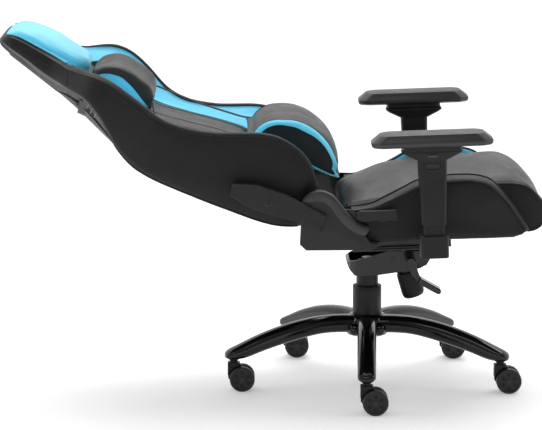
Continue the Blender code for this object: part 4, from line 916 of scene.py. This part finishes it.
def lumbar_pillow():
    radius = 0.0145
    cap_rows = 7
    ends = end_stations(LUMBAR_HALF - 0.001, radius, 6, 0.0012, cap_rows)
    right = [(-y, drop, lumbar_forward(y), scale) for y, drop, scale in ends]
    right += [(-LUMBAR_HALF + BAND, 0.0, lumbar_forward(LUMBAR_HALF), 1.0)]
    right += [(-y, 0.0006, lumbar_forward(y), 1.0) for y in spaced(LUMBAR_HALF - BAND - 0.004, 0, 17)]
    stations = mirrored_stations(right)
    rings = outline_rings(LUMBAR_OUTLINE, stations)
    rings = [[ripple(p, 16.0, 0.0008) for p in ring] for ring in rings]
    mesh = Mesh(BLACK, BLUE, PANEL)
    face = LUMBAR_HALF - BAND
    gaps = len(stations) - 1

    def look(r, k):
        if r < cap_rows or r >= gaps - cap_rows:
            return 0
        return 1 if abs(rings[r][k].y + rings[r + 1][k].y) / 2 > face + 0.0005 else 2

    mesh.rings(rings, look, (0, 0))
    pillow = mesh.build("lumbar_cushion", "lumbar", BACK, 60, ("lumbar_pillow",), "lumbar_pillow")
    puff(pillow, BACK, LUMBAR_SWELL, lambda co: abs(co.y) > face - 0.003 or co.x < 0.081)
    # The dark cords round the seams are painted seam shadow; the stitches are thread.
    trim = Mesh(SEAM_SHADOW, THREAD)
    for side in (-1, 1):
        for y, drop, thick in ((face, 0.0, 0.0010), (LUMBAR_HALF - 0.0010, radius, 0.0010)):
            ring = outline_rings(LUMBAR_OUTLINE, [(side * y, drop, lumbar_forward(y), 1.0)])[0]
            ring = [ripple(p, 16.0, 0.0008) for p in ring]
            trim.tube(ring + ring[:1], thick, 6)
        ring = outline_rings(LUMBAR_OUTLINE, [(side * (face - 0.006), 0.0, lumbar_forward(face), 1.0)])[0]
        trim.stitches([ripple(p, 16.0, 0.0008) for p in ring], look=1)
    trim.build("lumbar_cushion_seam_shadows_and_stitches", "lumbar", BACK)


def neck_pillow():
    """Roll with a dark waisted saddle; the seam of its blue ends runs across the end faces."""
    loop = smooth_loop(NECK_OUTLINE, 8)
    centre = Vector((0.070, 0.525))
    low = min(p.x for p in loop)
    seam = []
    for p in loop:
        edge = smooth_value(NECK_SEAM, p.y)
        q = centre + (p - centre) * 0.90
        seam.append(Vector((min(q.x, edge), q.y)))

    def ring(points, y):
        return [ripple(Vector((p.x, y, p.y)), 16.0, 0.0010) for p in points]

    def rounded(y, drop):
        share = abs(y) / NECK_HALF
        drop += 0.005 * max(0.0, (share - 0.70) / 0.30) ** 1.6
        waist = -0.011 * (1 - min(share / 0.80, 1) ** 2)
        result = []
        for p in loop:
            toward = centre - p
            q = p + toward.normalized() * min(drop, toward.length * 0.8)
            result.append(Vector((max(q.x + waist * min(max(q.x - low, 0) / 0.05, 1.0), low), q.y)))
        return result

    radius = 0.016
    right = [([centre + (q - centre) * share for q in seam], -(NECK_HALF + 0.004 * (1 - share**2)))
             for share in (0.12, 0.3, 0.5, 0.7, 0.85, 1.0)]
    blue_rows = len(right) - 1
    edge = rounded(NECK_HALF, radius)
    for share in (0.33, 0.67):
        right.append(([q.lerp(p, share) for q, p in zip(seam, edge)], -(NECK_HALF - 0.001 * share)))
    for k in range(9):
        turn = math.radians(90 * k / 8)
        y = NECK_HALF - 0.001 - radius * (1 - math.cos(turn))
        right.append((rounded(y, radius * (1 - math.sin(turn))), -y))
    right += [(rounded(y, 0.0), -y) for y in spaced(NECK_HALF - 0.021, 0, 26)]
    rings = [ring(points, y) for points, y in right] + [ring(points, -y) for points,
                                                        y in reversed(right[:-1])]
    mesh = Mesh(PANEL, BLUE)
    last = len(rings) - 2
    mesh.rings(rings, lambda r, k: 1 if r < blue_rows or r > last - blue_rows else 0, (1, 1))
    pillow = mesh.build("neck_cushion", "neck", BACK, 60, ("neck_pillow",), "neck_pillow")
    puff(pillow, BACK, NECK_SWELL, lambda co: co.x < 0.064 or abs(co.y) > NECK_HALF - 0.002)
    # A dark cord along the seam of each blue end: painted seam shadow.
    welt = Mesh(SEAM_SHADOW)
    for side in (-1, 1):
        path = [ripple(Vector((q.x, side * (NECK_HALF + 0.0003), q.y)), 16.0, 0.0010) for q in seam]
        welt.tube(path + path[:1], 0.0008)
    welt.build("neck_cushion_seam_shadows", "neck", BACK)


STRAP_RUN = [(0.0920, 0.2060), (0.0900, 0.2085), (0.0830, 0.2400), (0.0725, 0.3400), (0.0700, 0.4200),
             (0.0690, 0.4510)]
STRAP_Y = 0.148
STRAP_WIDTH = 0.018


def ribbed_strap(mesh, points, y, width=STRAP_WIDTH, ribs=3):
    """Flat elastic band with raised ribs along it, through points (front, up)."""
    points = [Vector(p) for p in points]
    rings = []
    for k, point in enumerate(points):
        along = (points[min(k + 1, len(points) - 1)] - points[max(k - 1, 0)]).normalized()
        out = Vector((along.y, -along.x))
        ring = []
        for side, count in ((1, ribs * 4), (-1, ribs * 4)):
            for j in range(count + 1):
                share = j / count
                height = 0.0009 + 0.0006 * math.cos(share * ribs * 2 * math.pi + math.pi)
                across = (share - 0.5) * width * side
                q = point + out * height * side
                ring.append(Vector((q.x, y + across, q.y)))
        rings.append(ring)
    mesh.rings(rings)


def lumbar_straps():
    for side, tag in SIDES:
        keys = [Vector(p) for p in STRAP_RUN]
        if side < 0:        # the right strap lies slack on the panel
            keys = [Vector((min(p.x, surface_depth(STRAP_Y, p.y) + 0.0025), p.y)) if 0.22 < p.y < 0.44 else p
                    for p in keys]
        run = [between(keys, k / 6, False) for k in range((len(keys) - 1) * 6 + 1)]
        mesh = Mesh(WEBBING)
        ribbed_strap(mesh, run, side * STRAP_Y)
        strap = mesh.build(f"elastic_strap_{tag}", None, BACK, 50)
        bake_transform(strap)
        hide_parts(f"lumbar_strap_{tag}")


def rear_straps():
    """The neck cushion's straps behind the shoulder slots: across the spine, and down each flank."""
    webbing = Mesh(WEBBING)
    buckle = Mesh(DARK_TRIM)
    rings = []
    for y in spaced(-0.185, 0.185, 41):
        s = 0.588 + 0.010 * (abs(y) / 0.185) ** 2
        depth = surface_depth(y, s, True) - 0.0030
        rings.append([Vector((depth + rise, y, s + up)) for rise, up in
                      ((0.0009, -0.010), (0.0009, 0.010), (-0.0009, 0.010), (-0.0009, -0.010))])
    webbing.rings(rings)
    for side, _ in SIDES:
        rings = []
        for s in spaced(0.640, 0.492, 30):
            lift = 0.0012 + 0.001 * math.sin((s - 0.492) / 0.148 * math.pi)
            low, high = (back_point(s, t, side, lift) for t in (10.95, 10.45))
            out = (back_point(s, 10.7, side, lift + 0.002) - back_point(s, 10.7, side, lift)).normalized()
            rings.append([low + out * 0.0009, high + out * 0.0009, high - out * 0.0009, low - out * 0.0009])
        webbing.rings(rings)
        for s in (0.560, 0.584):
            low, high = (back_point(s, t, side, 0.0032) for t in (11.0, 10.38))
            buckle.tube([low, high], 0.0024, 8)
        for t in (11.0, 10.38):
            buckle.tube([back_point(s, t, side, 0.0032) for s in (0.560, 0.584)], 0.0024, 8)
        buckle.tube([back_point(0.572, t, side, 0.0045) for t in (11.0, 10.38)], 0.0022, 8)
    webbing.build("neck_straps_rear", "back", BACK)
    buckle.build("neck_strap_buckles", "back", BACK)


# ---------------------------------------------------------------- seat

SEAT_REAR = -0.143
SEAT_FRONT = 0.3445
PAN_BOTTOM = 0.0525
PAN_TOP = 0.0625
PAN_FRONT = 0.262
CUSHION_HALF = 0.2035
BOLSTER_OUTER = 0.2655
CUSHION_TOP = [(SEAT_REAR, 0.116), (SEAT_REAR + 0.010, 0.144), (-0.105, 0.168), (-0.034, 0.187),
               (0.056, 0.197), (0.150, 0.200), (0.230, 0.204), (0.270, 0.200), (0.300, 0.186),
               (0.325, 0.157), (0.339, 0.128), (SEAT_FRONT, 0.103)]
CUSHION_EDGE = [(SEAT_REAR, 0.104), (SEAT_REAR + 0.010, 0.125), (-0.100, 0.138), (-0.034, 0.147),
                (0.045, 0.156), (0.150, 0.168), (0.230, 0.175), (0.270, 0.173), (0.300, 0.163),
                (0.325, 0.138), (0.339, 0.117), (SEAT_FRONT, 0.098)]
CUSHION_UNDER = [(SEAT_REAR, 0.085), (SEAT_REAR + 0.012, 0.068), (-0.095, PAN_TOP), (0.230, PAN_TOP),
                 (PAN_FRONT + 0.002, PAN_TOP), (0.300, 0.056), (0.325, 0.065), (0.338, 0.081),
                 (SEAT_FRONT, 0.094)]
CUSHION_CORNER = 4.0                # section parameter of the cushion's upper edge


def cushion_section(a):
    """Right half of the seat cushion's section at a: (across, up) from the middle of the top."""
    top, edge, under = (smooth_value(t, a) for t in (CUSHION_TOP, CUSHION_EDGE, CUSHION_UNDER))
    half = CUSHION_HALF - 0.0005
    rear = max(0.0, (SEAT_REAR + 0.020 - a) / 0.020)
    nose = max(0.0, (a - 0.325) / (SEAT_FRONT - 0.325))
    half -= 0.016 * rear**2 + 0.012 * nose**2
    points = [(half * share, top - (top - edge) * share**2.2) for share in (0.0, 0.35, 0.65, 0.86)]
    points += [(half * 0.972, edge - 0.002), (half, edge - (edge - under) * 0.22),
               (half, under + (edge - under) * 0.15), (half * 0.965, under + 0.0005),
               (half * 0.5, under + 0.0005),
               (0.0, under + 0.0005)]
    return [Vector(p) for p in points]


def cushion_loop(a):
    right = cushion_section(a)
    return right + [Vector((-p.x, p.y)) for p in reversed(right[1:-1])]


def cushion_point(a, t, side=1):
    p = between(cushion_loop(a), t)
    return ripple(Vector((a, p.x * side, p.y)), 12.0, 0.0012)


def seat_cushion():
    stations = [SEAT_REAR + 0.0008, SEAT_REAR + 0.004, SEAT_REAR + 0.010]
    stations += spaced(SEAT_REAR + 0.017, 0.300, 56) + [0.307, 0.314, 0.321, 0.328, 0.334, 0.339, 0.3430]
    per = 5
    rings = [[cushion_point(a, k / per) for k in range(18 * per)] for a in stations]
    mesh = Mesh(PANEL, SEAT_TOP, BLACK)

    def look(r, k):
        t = (k + 0.5) / per
        t = t if t < 9 else 18 - t
        a = stations[r]
        if t > CUSHION_CORNER:
            return 2
        return 1 if -0.105 < a < 0.268 and t < 2.9 else 0

    mesh.rings(rings, look, (2, 2))
    cushion = mesh.build("seat_cushion_cover", "seat", SEAT, 60, ("seat_cushion",), "seat_cushion")
    puff(cushion, SEAT, SEAT_SWELL, lambda co: co.z < smooth_value(CUSHION_EDGE, co.x) + 0.004)
    piping = Mesh(PIPING, THREAD)
    along = spaced(SEAT_REAR + 0.010, 0.3430, 110)
    for side in (-1, 1):
        piping.tube([cushion_point(a, CUSHION_CORNER + 0.05, side) for a in along], 0.0022, 8)
        piping.stitches([cushion_point(a, CUSHION_CORNER - 0.30,
                                       side) + Vector((0, 0, 0.0002)) for a in along],
                        look=1)
    piping.build("seat_cushion_piping", "seat", SEAT)


BOLSTER_OUTLINE = [(-0.116, 0.135), (-0.070, 0.141), (-0.029, 0.159), (0.008, 0.177), (0.042, 0.193),
                   (0.090, 0.201), (0.137, 0.203), (0.180, 0.199), (0.217, 0.184), (0.257, 0.140),
                   (0.287, 0.093), (0.297, 0.071), (0.283, 0.060), (0.262, PAN_BOTTOM + 0.002),
                   (-0.045, PAN_BOTTOM), (-0.116, PAN_BOTTOM)]


def bolster_crest():
    """The bolster's upper edge as a smooth line (along, up), rear to front."""
    keys = [Vector(p) for p in BOLSTER_OUTLINE[:13]]
    return [between(keys, k / 8, False) for k in range(12 * 8 + 1)]


def seat_bolsters():
    inner = CUSHION_HALF + 0.0012
    outline = [tuple(p) for p in bolster_crest()]
    outline += [(0.262, 0.0545), (0.20, PAN_BOTTOM + 0.001), (0.10, PAN_BOTTOM + 0.0005), (0.0, PAN_BOTTOM),
                (-0.06, PAN_BOTTOM), (-0.112, PAN_BOTTOM), (-0.116, PAN_BOTTOM + 0.003), (-0.116, 0.080),
                (-0.116, 0.108)]
    centre = Vector((0.100, 0.115))
    for side, tag in SIDES:
        depth = [(inner + 0.0005, 0.062), (inner, 0.035), (inner, 0.016), (inner + 0.0006, 0.0090),
                 (inner + 0.0035, 0.0042), (inner + 0.0085, 0.0012), (inner + 0.0160, 0.0),
                 (inner + 0.030, 0.0),
                 (BOLSTER_OUTER - 0.0200, 0.0008), (BOLSTER_OUTER - 0.0100, 0.0035),
                 (BOLSTER_OUTER - 0.0040, 0.0085),
                 (BOLSTER_OUTER - 0.0012, 0.0150), (BOLSTER_OUTER, 0.0250), (BOLSTER_OUTER, 0.045),
                 (BOLSTER_OUTER - 0.0005, 0.070)]
        rings = []
        for y, drop in depth:
            ring = []
            for p in outline:
                here = Vector(p)
                toward = centre - here
                here = here + toward.normalized() * min(drop, toward.length * 0.85)
                here.y = max(here.y, PAN_BOTTOM)
                ring.append(ripple(Vector((here.x, side * y, here.y)), 13.0, 0.0010))
            rings.append(ring)
        mesh = Mesh(BLACK, BLUE)
        mesh.rings(rings, lambda r, k: 1 if r < 5 else 0, (1, 0))
        cover = mesh.build(f"seat_bolster_cover_{tag}", "seat", SEAT, 60, (f"seat_bolster_{tag}",),
                           f"seat_bolster_{tag}")
        puff(cover, SEAT, BOLSTER_SWELL, lambda co: co.z < PAN_BOTTOM + 0.004 or abs(co.y) < inner + 0.002)
        piping = Mesh(PIPING)
        # A dark cord along the outer seam: painted seam shadow.
        seams = Mesh(SEAM_SHADOW)
        thread = Mesh(THREAD)
        crest = bolster_crest()

        def line(drop, y):
            path = []
            for p in crest:
                toward = (centre - p).normalized()
                q = p + toward * drop
                path.append(ripple(Vector((q.x, side * y, q.y)), 13.0, 0.0010))
            return path

        piping.tube(line(0.0022, inner + 0.0060), 0.0021, 8)
        seams.tube(line(0.0125, BOLSTER_OUTER - 0.0018), 0.0012)
        thread.stitches(line(0.0170, BOLSTER_OUTER - 0.0004))
        thread.stitches(line(0.0220, BOLSTER_OUTER + 0.0002))
        piping.build(f"seat_bolster_piping_{tag}", "seat", SEAT)
        seams.build(f"seat_bolster_seam_shadows_{tag}", "seat", SEAT)
        thread.build(f"seat_bolster_stitching_{tag}", "seat", SEAT)


# ---------------------------------------------------------------- hinge covers and levers

COVER_INNER = 0.2708
COVER_OUTER = 0.2985
COVER_OUTLINE = [(-0.236, 0.063), (-0.231, 0.120), (-0.226, 0.167), (-0.210, 0.180), (-0.191, 0.187),
                 (-0.174, 0.184), (-0.157, 0.174), (-0.143, 0.158), (-0.128, 0.137), (-0.110, 0.116),
                 (-0.093, 0.103), (-0.075, 0.095), (-0.086, 0.079), (-0.074, 0.063), (-0.057, 0.058),
                 (-0.062, 0.048), (-0.075, 0.0445), (-0.222, 0.0490)]
RIM_OUTER = COVER_OUTLINE[2:12]
RIM_INNER = [(-0.226, 0.158), (-0.210, 0.1600), (-0.192, 0.1620), (-0.178, 0.1590), (-0.166, 0.1500),
             (-0.155, 0.1350), (-0.141, 0.1140), (-0.123, 0.0960), (-0.104, 0.0840), (-0.086, 0.0790)]


def hinge_covers():
    for side, tag in SIDES:
        mesh = Mesh(TRIM, DARK_TRIM, RIM_HIGHLIGHT)
        field = COVER_OUTER - 0.0028

        def span(low, high):
            return sorted((side * low, side * high))

        outward = (side < 0, side > 0)
        mesh.plate(COVER_OUTLINE, *span(COVER_INNER, field), 0.0018, 0, outward)
        outer = [between([Vector(p) for p in RIM_OUTER], k / 5, False) for k in range(46)]
        inner = [between([Vector(p) for p in RIM_INNER], k / 5, False) for k in range(46)]
        rows = []
        steps = ((0.00, field - 0.006), (0.00, COVER_OUTER - 0.0040), (0.06, COVER_OUTER - 0.0018),
                 (0.16, COVER_OUTER - 0.0006), (0.30, COVER_OUTER), (0.90, COVER_OUTER - 0.0010),
                 (0.97, COVER_OUTER - 0.0016), (1.00, field - 0.0006), (1.00, field - 0.006))
        for share, y in steps:
            rows.append([Vector((o.lerp(i, share).x, side * y, o.lerp(i, share).y)) for o,
                         i in zip(outer, inner)])
        columns = [[row[k] for row in rows] for k in range(46)]
        # The rim band takes the paler rim plastic: painted highlight along the band.
        mesh.rings(columns, lambda r, k: 2, (2, 2))
        foot = [(-0.0875, 0.0790), (-0.0745, 0.0625), (-0.0570, 0.0575), (-0.0625, 0.0485), (-0.0755, 0.0450),
                (-0.0960, 0.0600)]
        mesh.plate(foot, *span(field - 0.010, field + 0.0012), 0.0010, 1, outward)
        mesh.turned([(0, 0), (0.0072, 0), (0.0072, 0.0006), (0.0062, 0.0012), (0.0030, 0.0012),
                     (0.0026, 0.0006),
                     (0, 0.0006)], 32, matrix=Matrix.Translation((-0.1850, side * (field - 0.0002), 0.0940))
                    @ Matrix.Rotation(-side * math.pi / 2, 4, "X"))
        mesh.build(f"hinge_cover_shell_{tag}", "seat", SEAT, 35, (f"hinge_cover_{tag}",),
                   f"hinge_cover_{tag}")
        boss = Mesh(TRIM)
        boss.turned([(0, -0.0004), (0.0085, -0.0004), (0.0085, 0.0004), (0.0070, 0.0010), (0.0032, 0.0010),
                     (0.0028, 0.0004), (0, 0.0004)], 32,
                    matrix=Matrix.Translation((-0.0150, side * 0.3090,
                                               0.120)) @ Matrix.Rotation(-side * math.pi / 2, 4, "X"))
        boss.build(f"hinge_arm_boss_{tag}", "back", BACK, 35)


# ---------------------------------------------------------------- base, casters and column

BASE_RADIUS = 0.333
LEG_ANGLES = [-92.5 + 72 * k for k in range(5)]
LEG_TOP = [(0.010, 0.1640), (0.030, 0.1665), (0.075, 0.1685), (0.115, 0.1670), (0.160, 0.1615),
           (0.210, 0.1505),
           (0.270, 0.1310), (0.320, 0.1100), (0.336, 0.1030), (0.356, 0.0960)]
LEG_BOTTOM = [(0.010, 0.1240), (0.030, 0.1240), (0.115, 0.1250), (0.200, 0.1085), (0.260, 0.0920),
              (0.300, 0.0790), (0.320, 0.0755), (0.356, 0.0755)]
LEG_TIP = 0.0215


def star_base():
    mesh = Mesh(GLOSS)
    for angle in LEG_ANGLES:
        turn = Matrix.Rotation(math.radians(angle), 4, "Z")
        rings = []
        stations = spaced(0.020, 0.325, 40)
        stations += [BASE_RADIUS - 0.004 + (LEG_TIP + 0.004) * math.sin(math.radians(a)) for a in range(8, 89,
                                                                                                        5)]
        stations.append(BASE_RADIUS + LEG_TIP * 0.9995)
        for r in stations:
            top, bottom = smooth_value(LEG_TOP, r), smooth_value(LEG_BOTTOM, r)
            half = 0.025 + (LEG_TIP - 0.025) * min(r / BASE_RADIUS, 1)
            half += 0.010 * max(0.0, (0.075 - r) / 0.055) ** 2
            over = r - (BASE_RADIUS - 0.004)
            if over > 0:
                shrink = max(1 - (over / (LEG_TIP + 0.004)) ** 3.2, 0.0004) ** 0.40
                half *= shrink
                middle = (top + bottom) / 2 - 0.003
                top = middle + (top - middle) * shrink
                bottom = middle + (bottom - middle) * shrink
            ring = []
            for k in range(36):
                turn_k = 2 * math.pi * (k + 0.5) / 36
                c, s = math.cos(turn_k), math.sin(turn_k)
                y = half * math.copysign(abs(c) ** 0.80, c)
                z = (top + bottom) / 2 + (top - bottom) / 2 * math.copysign(abs(s) ** 0.80, s)
                ring.append(turn @ Vector((r, y, z)))
            rings.append(ring)
        mesh.rings(rings)
        socket = Matrix.Translation(turn @ Vector((BASE_RADIUS, 0, 0)))
        mesh.turned([(0.0130, 0.0752), (0.0145, 0.0765), (0.0145, 0.0860), (0, 0.0860)], 32, matrix=socket)
        gusset = turn @ Matrix.Rotation(math.radians(36), 4, "Z") @ Matrix.Translation((0.0505, 0, 0.1370))
        ball = [(0.0155 * math.sin(math.radians(a)), -0.0165 * math.cos(math.radians(a))) for a in range(0,
                                                                                                         181,
                                                                                                         18)]
        mesh.turned(ball, 24, matrix=gusset)
    mesh.turned([(0.0235, 0.1165), (0.0400, 0.1165), (0.0480, 0.1190), (0.0525, 0.1260), (0.0530, 0.1400),
                 (0.0500, 0.1530), (0.0455, 0.1620), (0.0420, 0.1668), (0.0400, 0.1680), (0.0350, 0.1680)],
                72)
    mesh.build("base_star", "base", BASE, 45, ("star_base",), "star_base")


def wheel_mesh():
    """One twin wheel about Y: rounded treads and outer faces with six round pockets, whose walls take the
    darker plastic as painted shade.
    """
    mesh = Mesh(WHEEL, DARK_TRIM)
    half = [(0.0, 0.0252), (0.0064, 0.0252), (0.0072, 0.0244), (0.0072, 0.0226), (0.0235, 0.0226),
            (0.0238, 0.0250), (0.0246, 0.0258), (0.0276, 0.0258), (0.0290, 0.0250), (0.0298, 0.0236),
            (0.0300, 0.0218), (0.0300, 0.0120), (0.0296, 0.0098), (0.0285, 0.0085), (0.0265, 0.0080),
            (0.0, 0.0080)]
    lay = Matrix.Rotation(math.radians(-90), 4, "X")
    flip = Matrix.Rotation(math.radians(90), 4, "X")
    for matrix in (lay, flip):
        mesh.turned(half, 60, matrix=matrix)
    mesh.turned([(0, -0.0090), (0.0045, -0.0090), (0.0045, 0.0090), (0, 0.0090)], 20, matrix=lay)
    wheel = mesh.build("wheel_master", None, None, 35)
    # The pockets' walls take the darker plastic (look 1): painted shade inside the pockets.
    cutter = Mesh(WHEEL, DARK_TRIM)
    for side in (-1, 1):
        for k in range(6):
            turn = math.radians(60 * k + 30)
            place = Matrix.Translation((0.0155 * math.cos(turn), side * 0.0260, 0.0155 * math.sin(turn)))
            cutter.turned([(0, -0.0070), (0.0050, -0.0070), (0.0053, 0.0050), (0, 0.0050)], 20, look=1,
                          matrix=place @ lay)
    tool = cutter.build("cutter", None)
    subtract(wheel, tool)
    wheel.data.shade_smooth()
    wheel.data.set_sharp_from_angle(angle=math.radians(35))
    mesh = wheel.data
    bpy.data.objects.remove(wheel, do_unlink=True)
    return mesh


def casters():
    shared = wheel_mesh()
    for number, angle in enumerate(LEG_ANGLES, start=1):
        x = BASE_RADIUS * math.cos(math.radians(angle)) + 0.020
        y = BASE_RADIUS * math.sin(math.radians(angle))
        wheel = bpy.data.objects.new(f"twin_wheel_{number}", shared)
        bpy.context.scene.collection.objects.link(wheel)
        wheel.matrix_world = BASE @ Matrix.Translation((x, y, 0.030))
        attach(wheel, f"wheels_{number}")
        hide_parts(f"caster_wheels_{number}")


def column():
    lower = Mesh(PLASTIC)
    lower.turned([(0.0272, 0.2380), (0.0272, 0.1684), (0.0336, 0.1684), (0.0345, 0.1694), (0.0345, 0.2290),
                  (0.0341, 0.2295), (0.0341, 0.2302), (0.0345, 0.2307), (0.0345, 0.2366), (0.0338, 0.2376),
                  (0.0320, 0.2380), (0.0272, 0.2380)], 72)
    lower.build("cover_lower", "base", BASE, 35, ("column_cover_lower",), "column_cover_lower")
    upper = Mesh(PLASTIC)
    upper.turned([(0.0240, 0.2705), (0.0240, 0.1705), (0.0254, 0.1705), (0.0262, 0.1713), (0.0262, 0.2697),
                  (0.0256, 0.2705), (0.0240, 0.2705)], 72)
    upper.build("cover_upper", "column", BASE, 35, ("column_cover_upper",), "column_cover_upper")


KNOB = BASE @ Matrix.Translation((0.094, 0, 0.272)) @ Matrix.Rotation(-math.radians(18), 4, "Y")


def tension_knob():
    mesh = Mesh(PLASTIC)
    rings = []
    profile = [(-0.0655, 0.30), (-0.0658, 0.55), (-0.0650, 0.78), (-0.0630, 0.90), (-0.0590, 0.98),
               (-0.0540, 1.03),
               (-0.0480, 1.04), (-0.0300, 1.02), (-0.0120, 1.00), (-0.0060, 0.985), (-0.0030, 0.96),
               (-0.0012, 0.90),
               (-0.0008, 0.60)]
    steps = 168
    for z, scale in profile:
        ribbed = 1.0 if -0.062 < z < -0.0045 else 0.25
        ring = []
        for k in range(steps):
            angle = 2 * math.pi * k / steps
            radius = 0.0262 * scale * (1 - 0.030 * ribbed * (0.5 + 0.5 * math.cos(28 * angle)) ** 2)
            ring.append(Vector((radius * math.cos(angle), radius * math.sin(angle), z)))
        rings.append(ring)
    mesh.rings(rings)
    mesh.build("knob_ribbed", "tension", KNOB, 50, ("tension_knob",), "tension_knob")


ARM_A = 0.069
ARM_Y = 0.347
PAD_Y = 0.363
PAD_BOTTOM = 0.2943
PAD_LEVELS = [(0.0, 0.965, 0.86), (0.0035, 0.996, 0.975), (0.0090, 1.0, 1.0), (0.0120, 0.998, 0.996),
              (0.0262, 0.872, 0.892), (0.0282, 0.852, 0.860), (0.0294, 0.825, 0.800), (0.0300, 0.780, 0.700),
              (0.0303, 0.700, 0.500)]


def arm_pads():
    """Long-ended pads: upright sides, a steep facet above them and a nearly flat top."""
    long, wide = 0.1372, 0.0448
    corners = [(long, -wide + 0.017), (long, wide - 0.017), (long - 0.020, wide), (-long + 0.020, wide),
               (-long, wide - 0.017), (-long, -wide + 0.017), (-long + 0.020, -wide), (long - 0.020, -wide)]
    plan = []
    for k, corner in enumerate(corners):
        here = Vector(corner)
        before = (Vector(corners[k - 1]) - here).normalized()
        after = (Vector(corners[(k + 1) % 8]) - here).normalized()
        plan += [here + before * 0.004, here + (before + after) * 0.0012, here + after * 0.004]
    for side, tag in SIDES:
        rings = [[(x * across, y * over, z) for x, y in plan] for z, across, over in PAD_LEVELS]
        mesh = Mesh(PAD)
        mesh.rings(rings)
        place = SEAT @ Matrix.Translation((ARM_A, side * PAD_Y, PAD_BOTTOM))
        pad = mesh.build(f"arm_pad_cover_{tag}", f"pad_{tag}", place, 22, (f"arm_pad_{tag}",),
                         f"arm_pad_{tag}")


def armrest_details():
    """The small tab on each armrest's head and the mark above its button."""
    for side, tag in SIDES:
        mesh = Mesh(DARK_TRIM, RIM_HIGHLIGHT)
        place = SEAT @ Matrix.Translation((ARM_A, side * ARM_Y, 0))
        tab = [(-0.011, 0.2735), (0.011, 0.2735), (0.0095, 0.2675), (-0.0095, 0.2675)]
        # The tab takes the paler rim plastic: painted highlight.
        mesh.plate(tab, *sorted((side * 0.0240, side * 0.0305)), 0.0010, 1)
        mark = [(-0.0045, 0.2605), (0.0045, 0.2605), (0.0045, 0.2555), (-0.0045, 0.2555)]
        mesh.plate(mark, *sorted((side * 0.0210, side * 0.0231)), 0.0005, 0)
        mesh.build(f"arm_head_tab_{tag}", f"sleeve_{tag}", place, 35)


# ---------------------------------------------------------------- assembly

stage()
dress_cad_nodes()
back_cover()
back_trim()
head_cushion()
lumbar_pillow()
neck_pillow()
lumbar_straps()
rear_straps()
seat_cushion()
seat_bolsters()
hinge_covers()
star_base()
casters()
column()
tension_knob()
arm_pads()
armrest_details()
